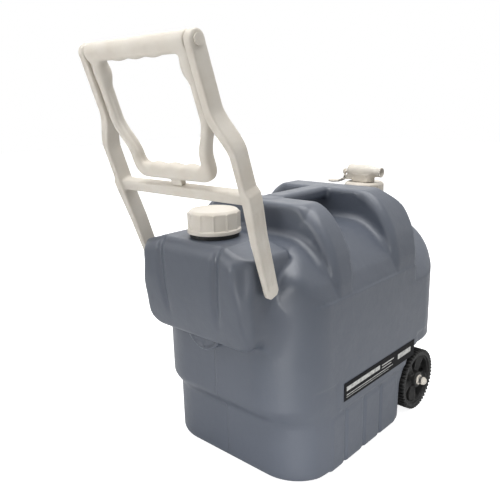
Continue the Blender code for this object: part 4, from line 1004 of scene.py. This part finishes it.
finishes["label"] = labelFilm("labelFilm")
kept = {
    "label": ("side_label",), "rubber": ("filler_seal", "tap_seal", "plunger_seal"),
    "black": ("filler_collar", "tap_collar", "wheel_spacer_left", "wheel_spacer_right"),
    "steel": ("tap_lever_pin", "plunger_spring", "axle"),
    "ivory": ("tap_plunger", "grip_pin_left", "grip_pin_right", "pivot_pin_left", "pivot_pin_right"),
}
for finish, nodes in kept.items():
    for node in nodes:
        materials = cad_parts[node].data.materials
        materials.clear()
        materials.append(finishes[finish])
print("kept nodes finished")


# floor, light and camera

studio = {
    "floor": (0.8, 0.8, 0.8), "floorHalf": 6.0, "floorPoints": 25, "floorRough": 0.9, "floorGlow": 0.85,
    "sky": (0.96, 0.98, 1.0), "world": 0.335, "white": (1, 1, 1, 1),
}
lamps = (  # name, place, target, size, power, spread in degrees
    ("keyLamp", (-0.9, -1.7, 1.7), (0, 0, 0.25), (1.0, 0.8), 9, 180),
    ("lowLamp", (0.9, -1.2, 0.14), (0.05, -0.05, 0.03), (0.5, 0.1), 0.55, 30),
    ("gripLamp", (-0.3, -1.6, 0.62), (0, -0.26, 0.55), (0.4, 0.4), 0.24, 24),
    ("topLamp", (0.15, 0.05, 2.1), (0, 0, 0.3), (2.0, 2.0), 47, 180),
    ("backLamp", (-1.25, 1.75, 1.25), (0, 0.05, 0.3), (1.4, 1.6), 2.2, 180),
)
view = {
    # the pose fitted to the photograph: angles in degrees, focal length in pixels
    "heading": 42.684, "tilt": 14.4797, "roll": -1.4265, "place": (0.5873, -0.7118, 0.55),
    "focal": 588.7, "pixels": 500, "sensor": 36, "clip": 0.01,
}


def makeFloor():
    # a wide flat sheet that also glows for the camera alone, to fade into the white
    n = studio["floorPoints"]
    u = np.linspace(-studio["floorHalf"], studio["floorHalf"], n)
    grid = np.stack(np.meshgrid(u, u, indexing="ij"), axis=2).reshape(-1, 2)
    points = np.concatenate([grid, np.zeros((len(grid), 1))], axis=1)
    i, j = np.meshgrid(np.arange(n - 1), np.arange(n - 1), indexing="ij")
    corner = (i * n + j).reshape(-1)
    faces = np.stack([corner, corner + n, corner + n + 1, corner + 1], axis=1)
    mesh = bpy.data.meshes.new("floor")
    mesh.from_pydata(points.tolist(), [], faces.tolist())
    obj = addObject("floor", mesh)
    material, tree, shader = nodesOf("floorPaint")
    shader.inputs["Base Color"].default_value = (*studio["floor"], 1)
    shader.inputs["Roughness"].default_value = studio["floorRough"]
    paint = shader.outputs["BSDF"]
    glow = addNode(tree, "Emission", {"Color": studio["white"], "Strength": studio["floorGlow"]})
    both = addNode(tree, "AddShader", enumerate((paint, glow.outputs["Emission"])))
    seen = addNode(tree, "LightPath").outputs["Is Camera Ray"]
    mixNode(tree, seen, paint, both.outputs["Shader"], "Material Output")
    obj.data.materials.append(material)


def makeWorld():
    # a dim sky lights the tank, while the camera and reflections see plain white
    world = bpy.data.worlds.new("studio")
    bpy.context.scene.world = world
    world.use_nodes = True
    tree = world.node_tree
    sky = tree.nodes["Background"]
    sky.inputs["Color"].default_value = (*studio["sky"], 1)
    sky.inputs["Strength"].default_value = studio["world"]
    white = addNode(tree, "Background", {"Color": studio["white"]})
    ray = addNode(tree, "LightPath").outputs
    bent = mathNode(tree, "MAXIMUM", ray["Is Glossy Ray"], ray["Is Transmission Ray"])
    seen = mathNode(tree, "MAXIMUM", ray["Is Camera Ray"], bent)
    mixNode(tree, seen, sky.outputs["Background"], white.outputs["Background"], "World Output")


def addLamp(name, place, target, size, power, spread):
    lamp = bpy.data.lights.new(name, "AREA")
    lamp.shape = "RECTANGLE"
    lamp.size, lamp.size_y = size
    lamp.energy = power
    lamp.spread = math.radians(spread)
    obj = addObject(name, lamp)
    direction = Vector(target) - Vector(place)
    obj.location = place
    obj.rotation_euler = direction.to_track_quat("-Z", "Y").to_euler()


def makeCamera():
    # forward, right and up from the heading and tilt, then right and up turned by the roll
    heading, tilt, roll = (math.radians(view[k]) for k in ("heading", "tilt", "roll"))
    level = math.cos(tilt)
    forward = Vector((-math.sin(heading) * level, math.cos(heading) * level, -math.sin(tilt)))
    right = forward.cross(Vector((0, 0, 1))).normalized()
    up = right.cross(forward)
    turnedRight = right * math.cos(roll) + up * math.sin(roll)
    turnedUp = up * math.cos(roll) - right * math.sin(roll)
    data = bpy.data.cameras.new("camera")
    data.sensor_width = view["sensor"]
    data.lens = view["focal"] / view["pixels"] * view["sensor"]
    data.clip_start = view["clip"]
    obj = addObject("camera", data)
    basis = Matrix((turnedRight, turnedUp, -forward)).transposed()
    obj.matrix_world = Matrix.Translation(view["place"]) @ basis.to_4x4()
    bpy.context.scene.camera = obj


makeFloor()
makeWorld()
for lamp in lamps:
    addLamp(*lamp)
makeCamera()
bpy.context.scene.view_settings.view_transform = "Standard"
print("studio ready")
